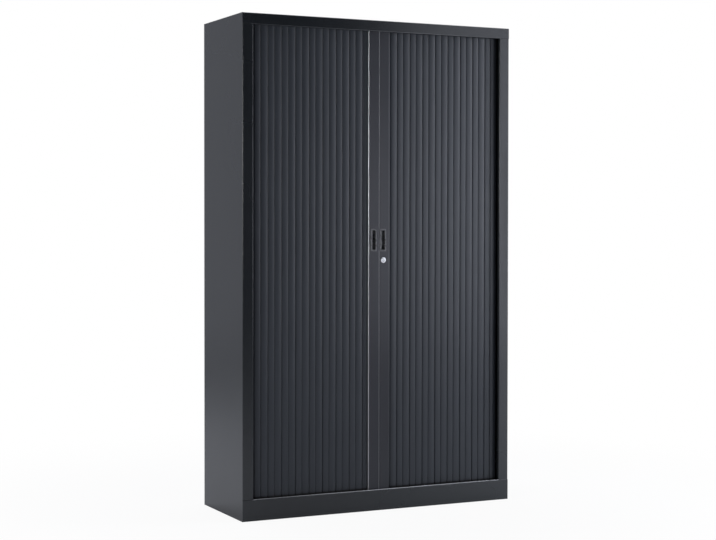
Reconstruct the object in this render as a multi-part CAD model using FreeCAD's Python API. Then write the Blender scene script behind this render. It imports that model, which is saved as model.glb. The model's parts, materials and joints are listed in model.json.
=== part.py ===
"""Tall steel cupboard with two side-opening tambour shutters, modelled in millimetres.

The frame is +Z up, X across the width and -Y towards the front.
The origin is on the floor, at the middle of the width and of the depth.
Each shutter is a rigid lead profile that draws a curtain of interlocking slats.
The slats run in a channel that turns back along the side wall and the back.
"""
import math
import os

import FreeCAD
import Part

os.makedirs("parts", exist_ok=True)

V = FreeCAD.Vector

# Driving dimensions of the body
WIDTH = 1200.0
DEPTH = 430.0
HEIGHT = 1980.0
SHEET = 1.0
BEND = 2.0
SEAM = 0.1
OVERRUN = 5.0

# Front frame of the body
RAIL_HEIGHT = 44.0
RAIL_RETURN = 15.0
RAIL_HEM = 7.0
PLINTH_HEIGHT = 85.0
PLINTH_LIP = 12.0
PLINTH_HEM = 6.0
PLINTH_FOOT = 20.0
STILE_WIDTH = 45.0
STILE_RETURN = 17.0
STILE_HEM = 12.0

# Back, floor and ceiling
BACK_FLANGE = 20.0
TOP_BACK_FLANGE = 18.0
BACK_PANEL_LIFT = 8.0
FLOOR_LEVEL = 67.0
FLOOR_FLANGE = 22.0
CEILING_DROP = 24.0
CEILING_FLANGE = 15.0

# Inner lining and the rows of slots for shelf clips
LINER_OFFSET = 33.0
LINER_FRONT_INSET = 67.0
LINER_BACK_INSET = 44.0
LINER_FLANGE = 15.0
SLOT_WIDTH = 3.0
SLOT_HEIGHT = 12.0
SLOT_FRONT_INSET = 34.0
SLOT_BACK_INSET = 37.0
SLOTS_PER_BAY = 7
SLOT_DROP = 9.0

# Shelves and their clips
SHELF_COUNT = 4
SHELF_EDGE = 28.0
SHELF_HEM = 12.0
SHELF_END_GAP = 5.0
SHELF_FRONT_GAP = 6.0
SHELF_BACK_GAP = 6.0
CLIP_LEDGE = 12.0
CLIP_LENGTH = 14.0
CLIP_THICKNESS = 2.0
CLIP_DROP = 11.0
CLIP_HOOK_DROP = 3.0
REST_GAP = 0.05
SAME_PLACE = 0.01

# Curtain slats, seen from above
SLAT_PITCH = 59.0
CREST_RECESS = 27.0
CREST_HEIGHT = 7.0
WIDE_RIB_RISE = 2.0
NARROW_RIB_RISE = 0.8
SLAT_WALL = 1.5
WEB = 1.2
CLAW_RADIUS = 3.5
CLAW_WALL = 1.3
BEAD_GAP = 0.4
CLAW_START_ANGLE = 70.0
CLAW_END_ANGLE = 335.0
BEAD_LEG_INSET = 5.5
CLAW_LEG_INSET = 2.5
HINGE_LEG_INSET = 2.5
JOINT_COVER = 1.0
JOINT_GROOVE = 3.0
HINGE_GROOVE = 2.0
RIGHT_FIRST_JOINT = 84.8
LEFT_FIRST_JOINT = 71.4
SLAT_TRIM = 43.0
SLAT_GAP = 0.3

# Tracks at top and bottom
TRACK_HEIGHT = 12.0
TRACK_BASE = 2.0
TRACK_WALL = 2.0
GROOVE_WIDTH = 13.0
TRACK_SETBACK = 1.75
TURN_RADIUS = 40.0
TURN_INSET = 55.0
BACK_RUN_INSET = 25.0
BACK_RUN_LENGTH = 160.0
CENTRE_GAP = 0.5
SEARCH_STEPS = 40

# Lead profiles
LEAD_RECESS = 17.5
LEAD_OUTER = 47.0
MEETING_LINE = 2.5
MEETING_GAP = 1.5
LEAD_WALL = 1.6
LEAD_DEPTH = 19.6
LEAD_COVER = 8.2
LEAD_WEB = 36.0
LEAD_BACK_LIP = 47.0
LEAD_END_GAP = 2.0
LEAD_CORNER = 3.0
LEAD_NOSE = 1.5
STOP_MARGIN = 8.0

# Glides at the ends of the leads
GLIDE_FIT = 0.1
GLIDE_INSET = 2.0
GLIDE_PLUG = 25.0
GLIDE_SIDE_GAP = 0.4
GLIDE_END_GAP = 0.3

# Handles
HANDLE_LOW = 1050.0
HANDLE_LENGTH = 90.0
HANDLE_WIDTH = 27.0
HANDLE_FLANGE = 2.0
HANDLE_CORNER = 3.0
HANDLE_EDGE = 1.2
LEFT_HANDLE_X = 24.0
RIGHT_HANDLE_X = 17.75
CUP_LENGTH = 79.0
CUP_WIDTH = 17.0
CUP_CORNER = 4.0
CUP_DEPTH = 13.0
CUP_FLOOR_ROUND = 2.0
CUP_DRAFT = 1.2
CUP_WALL = 1.2
CUP_FIT = 0.3

# Lock
LOCK_X = 19.0
LOCK_Z = 1014.0
BEZEL_RADIUS = 11.5
BEZEL_PROUD = 3.0
BEZEL_EDGE = 1.8
BARREL_RADIUS = 8.5
BARREL_FIT = 0.2
BARREL_LENGTH = 9.5
PLUG_RADIUS = 6.0
PLUG_FIT = 0.05
PLUG_SINK = 0.4
KEYWAY_WIDTH = 2.0
KEYWAY_HEIGHT = 7.0
KEYWAY_DEPTH = 5.0
HOOK_THICKNESS = 2.5
HOOK_GAP = 0.4
HOOK_HUB = 7.0
HOOK_ARM = 3.5
HOOK_INNER = 22.5
HOOK_OUTER = 27.5
HOOK_NOSE_ANGLE = 22.0
HOOK_ROOT_ANGLE = 7.0
STUB_RADIUS = 3.0
STUB_FIT = 0.1
STUB_HEAD = 4.5
STUB_HEAD_HEIGHT = 1.2
HOOK_SLOT_BELOW = 25.0
HOOK_SLOT_ABOVE = 4.5
HOOK_SLOT_GAP = 2.6
KEEPER_PLATE = 1.2
KEEPER_MARGIN = 6.0

# Stop buffers behind the top rail
BUFFER_LENGTH = 8.0
BUFFER_DEPTH = 6.4
BUFFER_DROP = 18.0
BUFFER_NOSE = 2.0
BUFFER_GAP = 0.5
BUFFER_TRACK_GAP = 0.3

# Stiffeners
STIFFENER_WIDTH = 70.0
STIFFENER_FLANGE = 15.0
STIFFENER_DROP = 24.0
STIFFENER_END_GAP = 14.0
FLOOR_STIFFENER_INSET = 100.0

# Levelling feet and what carries them
FOOT_SIDE_INSET = 44.0
FOOT_FRONT_INSET = 43.0
PAD_RADIUS = 16.0
PAD_HEIGHT = 8.0
PAD_EDGE = 3.0
FOOT_HEX = 8.0
FOOT_HEX_HEIGHT = 6.0
STEM_RADIUS = 5.0
STEM_TOP = 58.0
STEM_GAP = 0.3
BRACKET_SHEET = 1.5
BRACKET_LEVEL = 42.0
BRACKET_WIDTH = 72.0
BRACKET_FLANGE = 14.0
BRACKET_LENGTH = 60.0
BRACKET_SIDE_GAP = 2.5
NUT_ACROSS = 9.0
NUT_HEIGHT = 8.0
HEX_SIDES = 6

# Rivets along the back panel
RIVET_RADIUS = 1.6
RIVET_FIT = 0.1
RIVET_HEAD = 3.2
RIVET_HEIGHT = 1.0
RIVET_TAIL = 1.5
RIVET_INSET = 10.0
RIVET_ROWS = 5
RIVET_END_INSET = 120.0

# Places worked out from the driving dimensions
HALF_WIDTH = WIDTH / 2
FRONT = -DEPTH / 2
BACK = DEPTH / 2 - RIVET_HEIGHT
INNER_HALF = HALF_WIDTH - SHEET - SEAM
BACK_FACE = BACK - SHEET
RAIL_LEVEL = HEIGHT - RAIL_HEIGHT
STILE_EDGE = HALF_WIDTH - STILE_WIDTH
CEILING_LEVEL = HEIGHT - CEILING_DROP
LINER_X = HALF_WIDTH - LINER_OFFSET
LINER_FRONT = FRONT + LINER_FRONT_INSET
LINER_BACK = DEPTH / 2 - LINER_BACK_INSET
BAY_HEIGHT = (CEILING_LEVEL - FLOOR_LEVEL) / (SHELF_COUNT + 1)
SLOT_PITCH = BAY_HEIGHT / SLOTS_PER_BAY
TURN_CENTRE = HALF_WIDTH - TURN_INSET
BACK_RUN_LINE = DEPTH / 2 - BACK_RUN_INSET
PIVOT_Y = FRONT + CREST_RECESS + CREST_HEIGHT
GROOVE_Y = PIVOT_Y - TRACK_SETBACK
TURN_Y = GROOVE_Y + TURN_RADIUS
PIVOT_RADIUS = TURN_RADIUS - TRACK_SETBACK
HALF_PITCH = SLAT_PITCH / 2
SLAT_LOW = FLOOR_LEVEL + TRACK_BASE + SLAT_GAP
SLAT_HIGH = CEILING_LEVEL - TRACK_BASE - LEAD_END_GAP
LEAD_FRONT = FRONT + LEAD_RECESS
LEAD_BACK = LEAD_FRONT + LEAD_DEPTH
LEAD_LOW = FLOOR_LEVEL + TRACK_HEIGHT + LEAD_END_GAP
LEAD_HIGH = CEILING_LEVEL - TRACK_HEIGHT - LEAD_END_GAP
TRAVEL = STILE_EDGE - LEAD_OUTER - STOP_MARGIN
RIGHT_MEETING = MEETING_LINE + MEETING_GAP / 2
LEFT_MEETING = -(MEETING_LINE - MEETING_GAP / 2)
HOOK_FRONT = LEAD_FRONT + BARREL_LENGTH + HOOK_GAP
FOOT_X = HALF_WIDTH - FOOT_SIDE_INSET
FOOT_Y = DEPTH / 2 - FOOT_FRONT_INSET


# Basic shapes

def box(x_low, x_high, y_low, y_high, z_low, z_high):
    """Return a box between two corners."""
    return Part.makeBox(x_high - x_low, y_high - y_low, z_high - z_low, V(x_low, y_low, z_low))


def cylinder_y(radius, y_low, y_high, x, z):
    """Return a cylinder that lies along Y."""
    return Part.makeCylinder(radius, y_high - y_low, V(x, y_low, z), V(0, 1, 0))


def cylinder_z(radius, z_low, z_high, x, y):
    """Return a cylinder that stands along Z."""
    return Part.makeCylinder(radius, z_high - z_low, V(x, y, z_low))


def joined(solids):
    """Return one solid made of touching or crossing solids."""
    return solids[0].multiFuse(solids[1:]).removeSplitter()


def group(solids):
    """Return separate solids as one compound."""
    return Part.makeCompound(solids)


def mirrored(shape):
    """Return the shape's mirror image on the other side of the middle plane."""
    return shape.mirror(V(0, 0, 0), V(1, 0, 0))


def sided(shape, side):
    """Return a shape built for the right side, on the right (1) or on the left (-1)."""
    return shape if side > 0 else mirrored(shape)


# Outlines drawn on the XY plane

def path_edges(points, radii):
    """Return the edges of an open path whose inner corners are rounded."""
    edges = []
    position = points[0]
    for corner, following, radius in zip(points[1:-1], points[2:], radii):
        arriving = (corner - position).normalize()
        leaving = (following - corner).normalize()
        half_turn = arriving.getAngle(leaving) / 2
        if radius == 0:
            edges.append(Part.LineSegment(position, corner).toShape())
            position = corner
            continue
        setback = radius * math.tan(half_turn)
        first = corner - arriving * setback
        last = corner + leaving * setback
        inward = (leaving - arriving).normalize()
        middle = corner + inward * (radius / math.cos(half_turn) - radius)
        edges.append(Part.LineSegment(position, first).toShape())
        edges.append(Part.Arc(first, middle, last).toShape())
        position = last
    edges.append(Part.LineSegment(position, points[-1]).toShape())
    return edges


def loop_wire(points, radii):
    """Return a closed wire through the points, each corner rounded by its own radius."""
    corners = [V(*point) for point in points]
    start = (corners[0] + corners[-1]) / 2
    return Part.Wire(path_edges([start] + corners + [start], radii))


def loop_face(points, radius=0):
    """Return the face inside a closed outline, every corner rounded alike."""
    return Part.Face(loop_wire(points, [radius] * len(points)))


def moved_left(points, distance):
    """Return an open path's points moved to its left by a distance."""
    moved = []
    last = len(points) - 1
    for index, point in enumerate(points):
        before = (points[max(index, 1)] - points[max(index, 1) - 1]).normalize()
        after = (points[min(index, last - 1) + 1] - points[min(index, last - 1)]).normalize()
        normal = V(-before.y - after.y, before.x + after.x, 0)
        moved.append(point + normal * (distance / (1 + before.dot(after))))
    return moved


def bent_sheet(points, thickness=SHEET, bend=BEND):
    """Return a bent sheet's section; the points follow the face on its right."""
    near = [V(*point) for point in points]
    far = moved_left(near, thickness)
    near_radii = []
    far_radii = []
    for before, corner, after in zip(near, near[1:], near[2:]):
        turns_left = (corner - before).cross(after - corner).z > 0
        near_radii.append(bend + thickness if turns_left else bend)
        far_radii.append(bend if turns_left else bend + thickness)
    edges = path_edges(near, near_radii)
    edges.append(Part.LineSegment(near[-1], far[-1]).toShape())
    edges += path_edges(far[::-1], far_radii[::-1])
    edges.append(Part.LineSegment(far[0], near[0]).toShape())
    return Part.Face(Part.Wire(edges))


# Sections turned into solids

def standing(face, z_low, z_high):
    """Extrude a section drawn as (x, y) up along Z."""
    solid = face.extrude(V(0, 0, z_high - z_low))
    solid.translate(V(0, 0, z_low))
    return solid


def across(face, x_low, x_high):
    """Extrude a section drawn as (y, z) along X."""
    solid = face.extrude(V(0, 0, x_high - x_low))
    solid.translate(V(0, 0, x_low))
    solid.rotate(V(0, 0, 0), V(1, 1, 1), 120)
    return solid


def frontal(face, y_low, y_high):
    """Extrude a section drawn as (x, z) along Y."""
    solid = face.extrude(V(0, 0, y_high - y_low))
    solid.translate(V(0, 0, -y_high))
    solid.rotate(V(0, 0, 0), V(1, 0, 0), 90)
    return solid


def rectangle(x_low, x_high, z_low, z_high):
    """Return the corner points of a rectangle."""
    return [(x_low, z_low), (x_high, z_low), (x_high, z_high), (x_low, z_high)]


def turned(points_yz, radii=()):
    """Turn a side profile's outline about the Y axis; points are (radius, y)."""
    corners = [V(radius, y, 0) for radius, y in points_yz]
    outline = loop_wire(points_yz, radii) if radii else Part.makePolygon(corners + corners[:1])
    return Part.Face(outline).revolve(V(0, 0, 0), V(0, 1, 0), 360)


def softened(solid, y, radius):
    """Round every edge of a solid that lies in one frontal plane."""
    edges = [edge for edge in solid.Edges
             if all(abs(corner.Point.y - y) < SAME_PLACE for corner in edge.Vertexes)]
    return solid.makeFillet(radius, edges)


# Body of the cupboard

def rivet_places():
    """Return (x, z) of each rivet along the two sides of the back panel."""
    span = HEIGHT - 2 * RIVET_END_INSET
    heights = [RIVET_END_INSET + span * row / (RIVET_ROWS - 1) for row in range(RIVET_ROWS)]
    x = HALF_WIDTH - RIVET_INSET
    return [(side * x, z) for side in (-1, 1) for z in heights]


def without_rivet_holes(panel):
    """Drill a panel for the back rivets."""
    radius = RIVET_RADIUS + RIVET_FIT
    drills = [cylinder_y(radius, BACK - OVERRUN, BACK + OVERRUN, x, z) for x, z in rivet_places()]
    return panel.cut(group(drills))


def side_panel(side):
    """Outer side skin with the folded front stile and the back flange."""
    back_edge = HALF_WIDTH - BACK_FLANGE
    stile_back = FRONT + STILE_RETURN
    section = bent_sheet([
        (STILE_EDGE + STILE_HEM, stile_back),
        (STILE_EDGE, stile_back),
        (STILE_EDGE, FRONT),
        (HALF_WIDTH, FRONT),
        (HALF_WIDTH, BACK),
        (back_edge, BACK),
    ])
    top = HEIGHT - SHEET
    skin = standing(section, 0, top)
    stile_low = STILE_EDGE - OVERRUN
    stile_high = HALF_WIDTH + OVERRUN
    front_face = FRONT + SHEET + SEAM
    cuts = []
    for low, high in ((RAIL_LEVEL - SEAM, HEIGHT), (-OVERRUN, PLINTH_HEIGHT + SEAM)):
        cuts.append(box(stile_low, stile_high, FRONT - OVERRUN, front_face, low, high))
        cuts.append(box(stile_low, INNER_HALF, FRONT - OVERRUN, stile_back + OVERRUN, low, high))
    cuts.append(box(stile_low, INNER_HALF, BACK_FACE - BEND - SEAM, BACK + OVERRUN,
                    HEIGHT - TOP_BACK_FLANGE - SEAM, HEIGHT))
    return sided(without_rivet_holes(skin.cut(group(cuts))), side)


def between_sides(shape, top):
    """Notch a full-width folding so that only its outer faces cap the side skins."""
    for side in (-1, 1):
        inner = side * INNER_HALF
        outer = side * (HALF_WIDTH + OVERRUN)
        notch = box(min(inner, outer), max(inner, outer), FRONT + SHEET, BACK + OVERRUN, -OVERRUN, top)
        shape = shape.cut(notch)
    return shape


def top_panel():
    """Top skin whose front fold is the deep rail over the shutters."""
    rail_back = FRONT + RAIL_RETURN
    section = bent_sheet([
        (BACK, HEIGHT - TOP_BACK_FLANGE),
        (BACK, HEIGHT),
        (FRONT, HEIGHT),
        (FRONT, RAIL_LEVEL),
        (rail_back, RAIL_LEVEL),
        (rail_back, RAIL_LEVEL + RAIL_HEM),
    ])
    return between_sides(across(section, -HALF_WIDTH, HALF_WIDTH), HEIGHT - SHEET)


def front_plinth():
    """Front plinth with a folded lip on top and a foot along the floor."""
    lip_back = FRONT + PLINTH_LIP
    section = bent_sheet([
        (lip_back, PLINTH_HEIGHT - PLINTH_HEM),
        (lip_back, PLINTH_HEIGHT),
        (FRONT, PLINTH_HEIGHT),
        (FRONT, 0),
        (FRONT + PLINTH_FOOT, 0),
    ])
    return between_sides(across(section, -HALF_WIDTH, HALF_WIDTH), HEIGHT)


def floor_panel():
    """Inner floor with folded-down front and back edges."""
    front = FRONT + SHEET + SEAM
    back = BACK_FACE - BEND - SEAM
    section = bent_sheet([
        (back, FLOOR_LEVEL - FLOOR_FLANGE),
        (back, FLOOR_LEVEL),
        (front, FLOOR_LEVEL),
        (front, FLOOR_LEVEL - FLOOR_FLANGE),
    ])
    return across(section, -INNER_HALF, INNER_HALF)


def ceiling_panel():
    """Inner ceiling, folded up at front and back, that the top tracks hang from."""
    front = FRONT + SHEET + SEAM
    back = BACK_FACE - BEND - SEAM
    section = bent_sheet([
        (front, CEILING_LEVEL + CEILING_FLANGE),
        (front, CEILING_LEVEL),
        (back, CEILING_LEVEL),
        (back, CEILING_LEVEL + CEILING_FLANGE),
    ])
    return across(section, -INNER_HALF, INNER_HALF)


def back_panel():
    """Flat outer back, set inside the side flanges."""
    half = INNER_HALF - BEND
    sheet = box(-half, half, BACK_FACE - SHEET, BACK_FACE, BACK_PANEL_LIFT, HEIGHT - SHEET - BEND - SEAM)
    return without_rivet_holes(sheet)


def back_rivets():
    """Domed rivets that hold the back panel to the side flanges."""
    tail = BACK_FACE - SHEET - RIVET_TAIL
    shank = turned([
        (0, tail),
        (RIVET_RADIUS, tail),
        (RIVET_RADIUS, BACK),
        (RIVET_HEAD, BACK),
        (RIVET_RADIUS, BACK + RIVET_HEIGHT),
        (0, BACK + RIVET_HEIGHT),
    ])
    rivets = []
    for x, z in rivet_places():
        rivet = shank.copy()
        rivet.translate(V(x, 0, z))
        rivets.append(rivet)
    return group(rivets)


def inner_back_panel():
    """Lining that keeps what is stored away from the curtain's back runs."""
    half = LINER_X - SHEET - SEAM
    return box(-half, half, LINER_BACK, LINER_BACK + SHEET, FLOOR_LEVEL, CEILING_LEVEL)


def slot_columns():
    """Return the depths at which the two columns of slots stand."""
    return (LINER_FRONT + SLOT_FRONT_INSET, LINER_BACK - SLOT_BACK_INSET)


def slot_level(index):
    """Return the middle height of a shelf-clip slot."""
    return FLOOR_LEVEL + index * SLOT_PITCH - SLOT_DROP


def inner_panel(side):
    """Side lining with two columns of shelf-clip slots."""
    section = bent_sheet([
        (LINER_X, LINER_FRONT),
        (LINER_X, LINER_BACK),
        (LINER_X - SHEET - LINER_FLANGE, LINER_BACK),
    ])
    panel = standing(section, FLOOR_LEVEL, CEILING_LEVEL)
    slots = []
    for y in slot_columns():
        for index in range(2, SLOTS_PER_BAY * (SHELF_COUNT + 1) - 1):
            z = slot_level(index)
            slots.append(box(LINER_X - OVERRUN, LINER_X + OVERRUN, y - SLOT_WIDTH / 2, y + SLOT_WIDTH / 2,
                             z - SLOT_HEIGHT / 2, z + SLOT_HEIGHT / 2))
    return sided(panel.cut(group(slots)), side)


def hat_channel(middle, level, drop, low, high, extrude):
    """Return a hat-shaped stiffener whose flanges lie at a level."""
    half = STIFFENER_WIDTH / 2
    wide = half + STIFFENER_FLANGE
    section = bent_sheet([
        (middle - wide, level),
        (middle - half, level),
        (middle - half, level + drop),
        (middle + half, level + drop),
        (middle + half, level),
        (middle + wide, level),
    ])
    return extrude(section, low, high)


def top_stiffener():
    """Hat channel between the ceiling and the top skin, front to back."""
    rise = HEIGHT - SHEET - SEAM - SHEET - CEILING_LEVEL - SHEET
    low = FRONT + STIFFENER_END_GAP
    high = BACK_FACE - STIFFENER_END_GAP
    return hat_channel(0, CEILING_LEVEL + SHEET, rise, low, high, frontal)


def floor_stiffener():
    """Hat channel under the floor, along the width."""
    level = FLOOR_LEVEL - SHEET - SHEET
    half = HALF_WIDTH - FLOOR_STIFFENER_INSET
    return hat_channel(0, level, -STIFFENER_DROP, -half, half, across)


# Shelves

def shelf_level(number):
    """Return the top height of a shelf, counted from one at the bottom."""
    return FLOOR_LEVEL + number * BAY_HEIGHT


def shelf(number):
    """Folded shelf with deep front and back edges."""
    top = shelf_level(number)
    front = LINER_FRONT + SHELF_FRONT_GAP
    back = LINER_BACK - SHELF_BACK_GAP
    half = LINER_X - SHEET - SHELF_END_GAP
    section = bent_sheet([
        (back - SHELF_HEM, top - SHELF_EDGE),
        (back, top - SHELF_EDGE),
        (back, top),
        (front, top),
        (front, top - SHELF_EDGE),
        (front + SHELF_HEM, top - SHELF_EDGE),
    ])
    return across(section, -half, half)


def shelf_clip(number, y, side):
    """Clip with a hooked tongue in a liner slot and a ledge under the shelf."""
    top = shelf_level(number) - SHEET - REST_GAP
    face = LINER_X - SHEET
    section = bent_sheet([
        (y + CLIP_THICKNESS / 2, top - CLIP_DROP),
        (y + CLIP_THICKNESS / 2, top),
        (y + CLIP_THICKNESS / 2 - CLIP_LENGTH, top),
    ], CLIP_THICKNESS)
    ledge = across(section, face - CLIP_LEDGE, face)
    slot = slot_level(number * SLOTS_PER_BAY)
    tongue_low = slot - SLOT_HEIGHT / 2 + SEAM
    tongue_high = top - CLIP_THICKNESS - BEND
    tongue = box(face - CLIP_THICKNESS, LINER_X + SEAM + CLIP_THICKNESS, y - CLIP_THICKNESS / 2,
                 y + CLIP_THICKNESS / 2, tongue_low, tongue_high)
    hook = box(LINER_X + SEAM, LINER_X + SEAM + CLIP_THICKNESS, y - CLIP_THICKNESS / 2,
               y + CLIP_THICKNESS / 2, tongue_low - CLIP_HOOK_DROP, tongue_high)
    return sided(joined([ledge, tongue, hook]), side)


def shelf_clips():
    """Four clips for each shelf."""
    places = [(number, y) for number in range(1, SHELF_COUNT + 1) for y in slot_columns()]
    return group([shelf_clip(number, y, side) for number, y in places for side in (-1, 1)])


# Tracks

def track_band(half_width):
    """Return the plan face of the track's route, widened to each side."""
    back_end = TURN_CENTRE - BACK_RUN_LENGTH
    side_line = TURN_CENTRE + TURN_RADIUS
    route = [V(*point) for point in (
        (CENTRE_GAP, GROOVE_Y),
        (side_line, GROOVE_Y),
        (side_line, BACK_RUN_LINE),
        (back_end, BACK_RUN_LINE),
    )]
    outer = moved_left(route, -half_width)
    inner = moved_left(route, half_width)
    edges = path_edges(outer, [TURN_RADIUS + half_width] * 2)
    edges.append(Part.LineSegment(outer[-1], inner[-1]).toShape())
    edges += path_edges(inner[::-1], [TURN_RADIUS - half_width] * 2)
    edges.append(Part.LineSegment(inner[0], outer[0]).toShape())
    return Part.Face(Part.Wire(edges))


def track(side, is_top):
    """Channel for the curtain, with rounded turns at the front and back corners."""
    low = CEILING_LEVEL - TRACK_HEIGHT if is_top else FLOOR_LEVEL
    high = low + TRACK_HEIGHT
    groove_low = low - OVERRUN if is_top else low + TRACK_BASE
    groove_high = high - TRACK_BASE if is_top else high + OVERRUN
    body = standing(track_band(GROOVE_WIDTH / 2 + TRACK_WALL), low, high)
    groove = standing(track_band(GROOVE_WIDTH / 2), groove_low, groove_high)
    return sided(body.cut(groove), side)


# Curtain slats

def rib(cover_low, cover_high, leg_low, leg_high, rise):
    """Return the faces of one rib: an arched cover on two legs that stand on the pivot line."""
    middle = (cover_low + cover_high) / 2
    crest = -CREST_HEIGHT
    edge = crest + rise
    outer = Part.Arc(V(cover_low, edge), V(middle, crest), V(cover_high, edge)).toShape()
    inner = Part.Arc(V(cover_high, edge + SLAT_WALL), V(middle, crest + SLAT_WALL),
                     V(cover_low, edge + SLAT_WALL)).toShape()
    right = Part.LineSegment(V(cover_high, edge), V(cover_high, edge + SLAT_WALL)).toShape()
    left = Part.LineSegment(V(cover_low, edge + SLAT_WALL), V(cover_low, edge)).toShape()
    cover = Part.Face(Part.Wire([outer, right, inner, left]))
    legs = [loop_face(rectangle(x, x + SLAT_WALL, edge, WEB / 2)) for x in (leg_low, leg_high - SLAT_WALL)]
    return [cover] + legs


def strip(low, high):
    """Return the thin web between two places on the pivot line."""
    return loop_face(rectangle(low, high, -WEB / 2, WEB / 2))


def disc(x, radius):
    """Return a round face on the pivot line."""
    return Part.Face(Part.Wire(Part.makeCircle(radius, V(x, 0, 0))))


def claw():
    """Return the open ring that grips the next slat's bead."""
    middle = V(HALF_PITCH, 0, 0)
    up = V(0, 0, 1)
    start = CLAW_START_ANGLE
    end = CLAW_END_ANGLE
    outer = Part.makeCircle(CLAW_RADIUS, middle, up, start, end)
    inner = Part.makeCircle(CLAW_RADIUS - CLAW_WALL, middle, up, start, end)
    first = Part.LineSegment(outer.valueAt(outer.FirstParameter), inner.valueAt(inner.FirstParameter))
    last = Part.LineSegment(outer.valueAt(outer.LastParameter), inner.valueAt(inner.LastParameter))
    return Part.Face(Part.Wire(Part.__sortEdges__([outer, last.toShape(), inner, first.toShape()])))


def bead_half():
    """Faces from the bead, over the narrow rib, to the thin hinge line."""
    leg_end = HALF_PITCH - HINGE_LEG_INSET
    bead = disc(0, CLAW_RADIUS - CLAW_WALL - BEAD_GAP)
    neck = strip(0, BEAD_LEG_INSET + SLAT_WALL)
    web = strip(leg_end - SLAT_WALL, HALF_PITCH)
    faces = rib(JOINT_COVER + JOINT_GROOVE, HALF_PITCH - HINGE_GROOVE / 2, BEAD_LEG_INSET, leg_end,
                NARROW_RIB_RISE)
    return faces + [bead, neck, web, disc(HALF_PITCH, WEB / 2)]


def claw_half():
    """Faces from the thin hinge line, over the wide rib, to the claw."""
    web = strip(0, HINGE_LEG_INSET + SLAT_WALL)
    faces = rib(HINGE_GROOVE / 2, HALF_PITCH + JOINT_COVER, HINGE_LEG_INSET, HALF_PITCH - CLAW_LEG_INSET,
                WIDE_RIB_RISE)
    return faces + [web, claw()]


def placed_half(faces, start, end):
    """Extrude a half slat's faces and lay them from one pivot to the next."""
    solid = joined([standing(face, SLAT_LOW, SLAT_HIGH) for face in faces])
    run = end - start
    solid.rotate(V(0, 0, 0), V(0, 0, 1), math.degrees(math.atan2(run.y, run.x)))
    solid.translate(start)
    return solid


def slat(first, middle, last):
    """One slat with its bead at the first pivot and its claw at the last."""
    return joined([placed_half(bead_half(), first, middle), placed_half(claw_half(), middle, last)])


def route_point(distance):
    """Return the pivot line's point at a distance from the cupboard's middle."""
    turn = (distance - TURN_CENTRE) / PIVOT_RADIUS
    if turn <= 0:
        return V(distance, PIVOT_Y, 0)
    return V(TURN_CENTRE + PIVOT_RADIUS * math.sin(turn), TURN_Y - PIVOT_RADIUS * math.cos(turn), 0)


def next_pivot(distance):
    """Return the distance along the route that lies half a slat's chord further on."""
    low = distance + HALF_PITCH
    high = distance + SLAT_PITCH
    for _ in range(SEARCH_STEPS):
        middle = (low + high) / 2
        too_near = (route_point(middle) - route_point(distance)).Length < HALF_PITCH
        low, high = (middle, high) if too_near else (low, middle)
    return low


def slat_pivots(first_joint):
    """Return the three pivots of each slat, from the lead to the curtain's tail."""
    pivots = [[first_joint - SLAT_PITCH, first_joint - HALF_PITCH, first_joint]]
    while pivots[-1][2] < TURN_CENTRE:
        near = pivots[-1][2]
        middle = next_pivot(near)
        pivots.append([near, middle, next_pivot(middle)])
    return [[route_point(distance) for distance in slat_places] for slat_places in pivots]


def right_curtain():
    """Slats of the right curtain, from the lead outwards."""
    slats = [slat(*pivots) for pivots in slat_pivots(RIGHT_FIRST_JOINT)]
    hidden = box(0, SLAT_TRIM, FRONT, 0, 0, HEIGHT)
    slats[0] = slats[0].cut(hidden)
    return slats


def left_curtain():
    """Slats of the left curtain, from the lead outwards; the extrusion is the same hand."""
    slats = []
    for pivots in slat_pivots(LEFT_FIRST_JOINT):
        near, middle, far = [V(-point.x, point.y, 0) for point in pivots]
        slats.append(slat(far, middle, near))
    hidden = box(-SLAT_TRIM, SLAT_PITCH, FRONT, 0, 0, HEIGHT)
    slats[0] = slats[0].cut(hidden)
    return slats


# Lead profiles

def lead_section(meeting):
    """Closed hollow of the lead with a cover flange and a lip for the first slat."""
    cover_back = LEAD_FRONT + LEAD_COVER
    outline = [
        (meeting, LEAD_FRONT),
        (LEAD_OUTER, LEAD_FRONT),
        (LEAD_OUTER, cover_back),
        (LEAD_OUTER - LEAD_WALL, cover_back),
        (LEAD_OUTER - LEAD_WALL, LEAD_FRONT + LEAD_WALL),
        (LEAD_WEB, LEAD_FRONT + LEAD_WALL),
        (LEAD_WEB, LEAD_BACK - LEAD_WALL),
        (LEAD_BACK_LIP, LEAD_BACK - LEAD_WALL),
        (LEAD_BACK_LIP, LEAD_BACK),
        (meeting, LEAD_BACK),
    ]
    radii = [LEAD_NOSE, LEAD_CORNER, 0, 0, LEAD_CORNER - LEAD_WALL]
    sharp = [0] * (len(outline) - len(radii))
    outer = Part.Face(loop_wire(outline, radii + sharp))
    hollow = loop_face(rectangle(meeting + LEAD_WALL, LEAD_WEB - LEAD_WALL,
                                 LEAD_FRONT + LEAD_WALL, LEAD_BACK - LEAD_WALL))
    return outer.cut(hollow)


def hook_slot(x_low, x_high):
    """Return the cutter for the slot that the lock hook swings through."""
    return box(x_low, x_high, HOOK_FRONT - HOOK_SLOT_GAP, HOOK_FRONT + HOOK_THICKNESS + HOOK_SLOT_GAP,
               LOCK_Z - HOOK_SLOT_BELOW, LOCK_Z + HOOK_SLOT_ABOVE)


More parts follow.
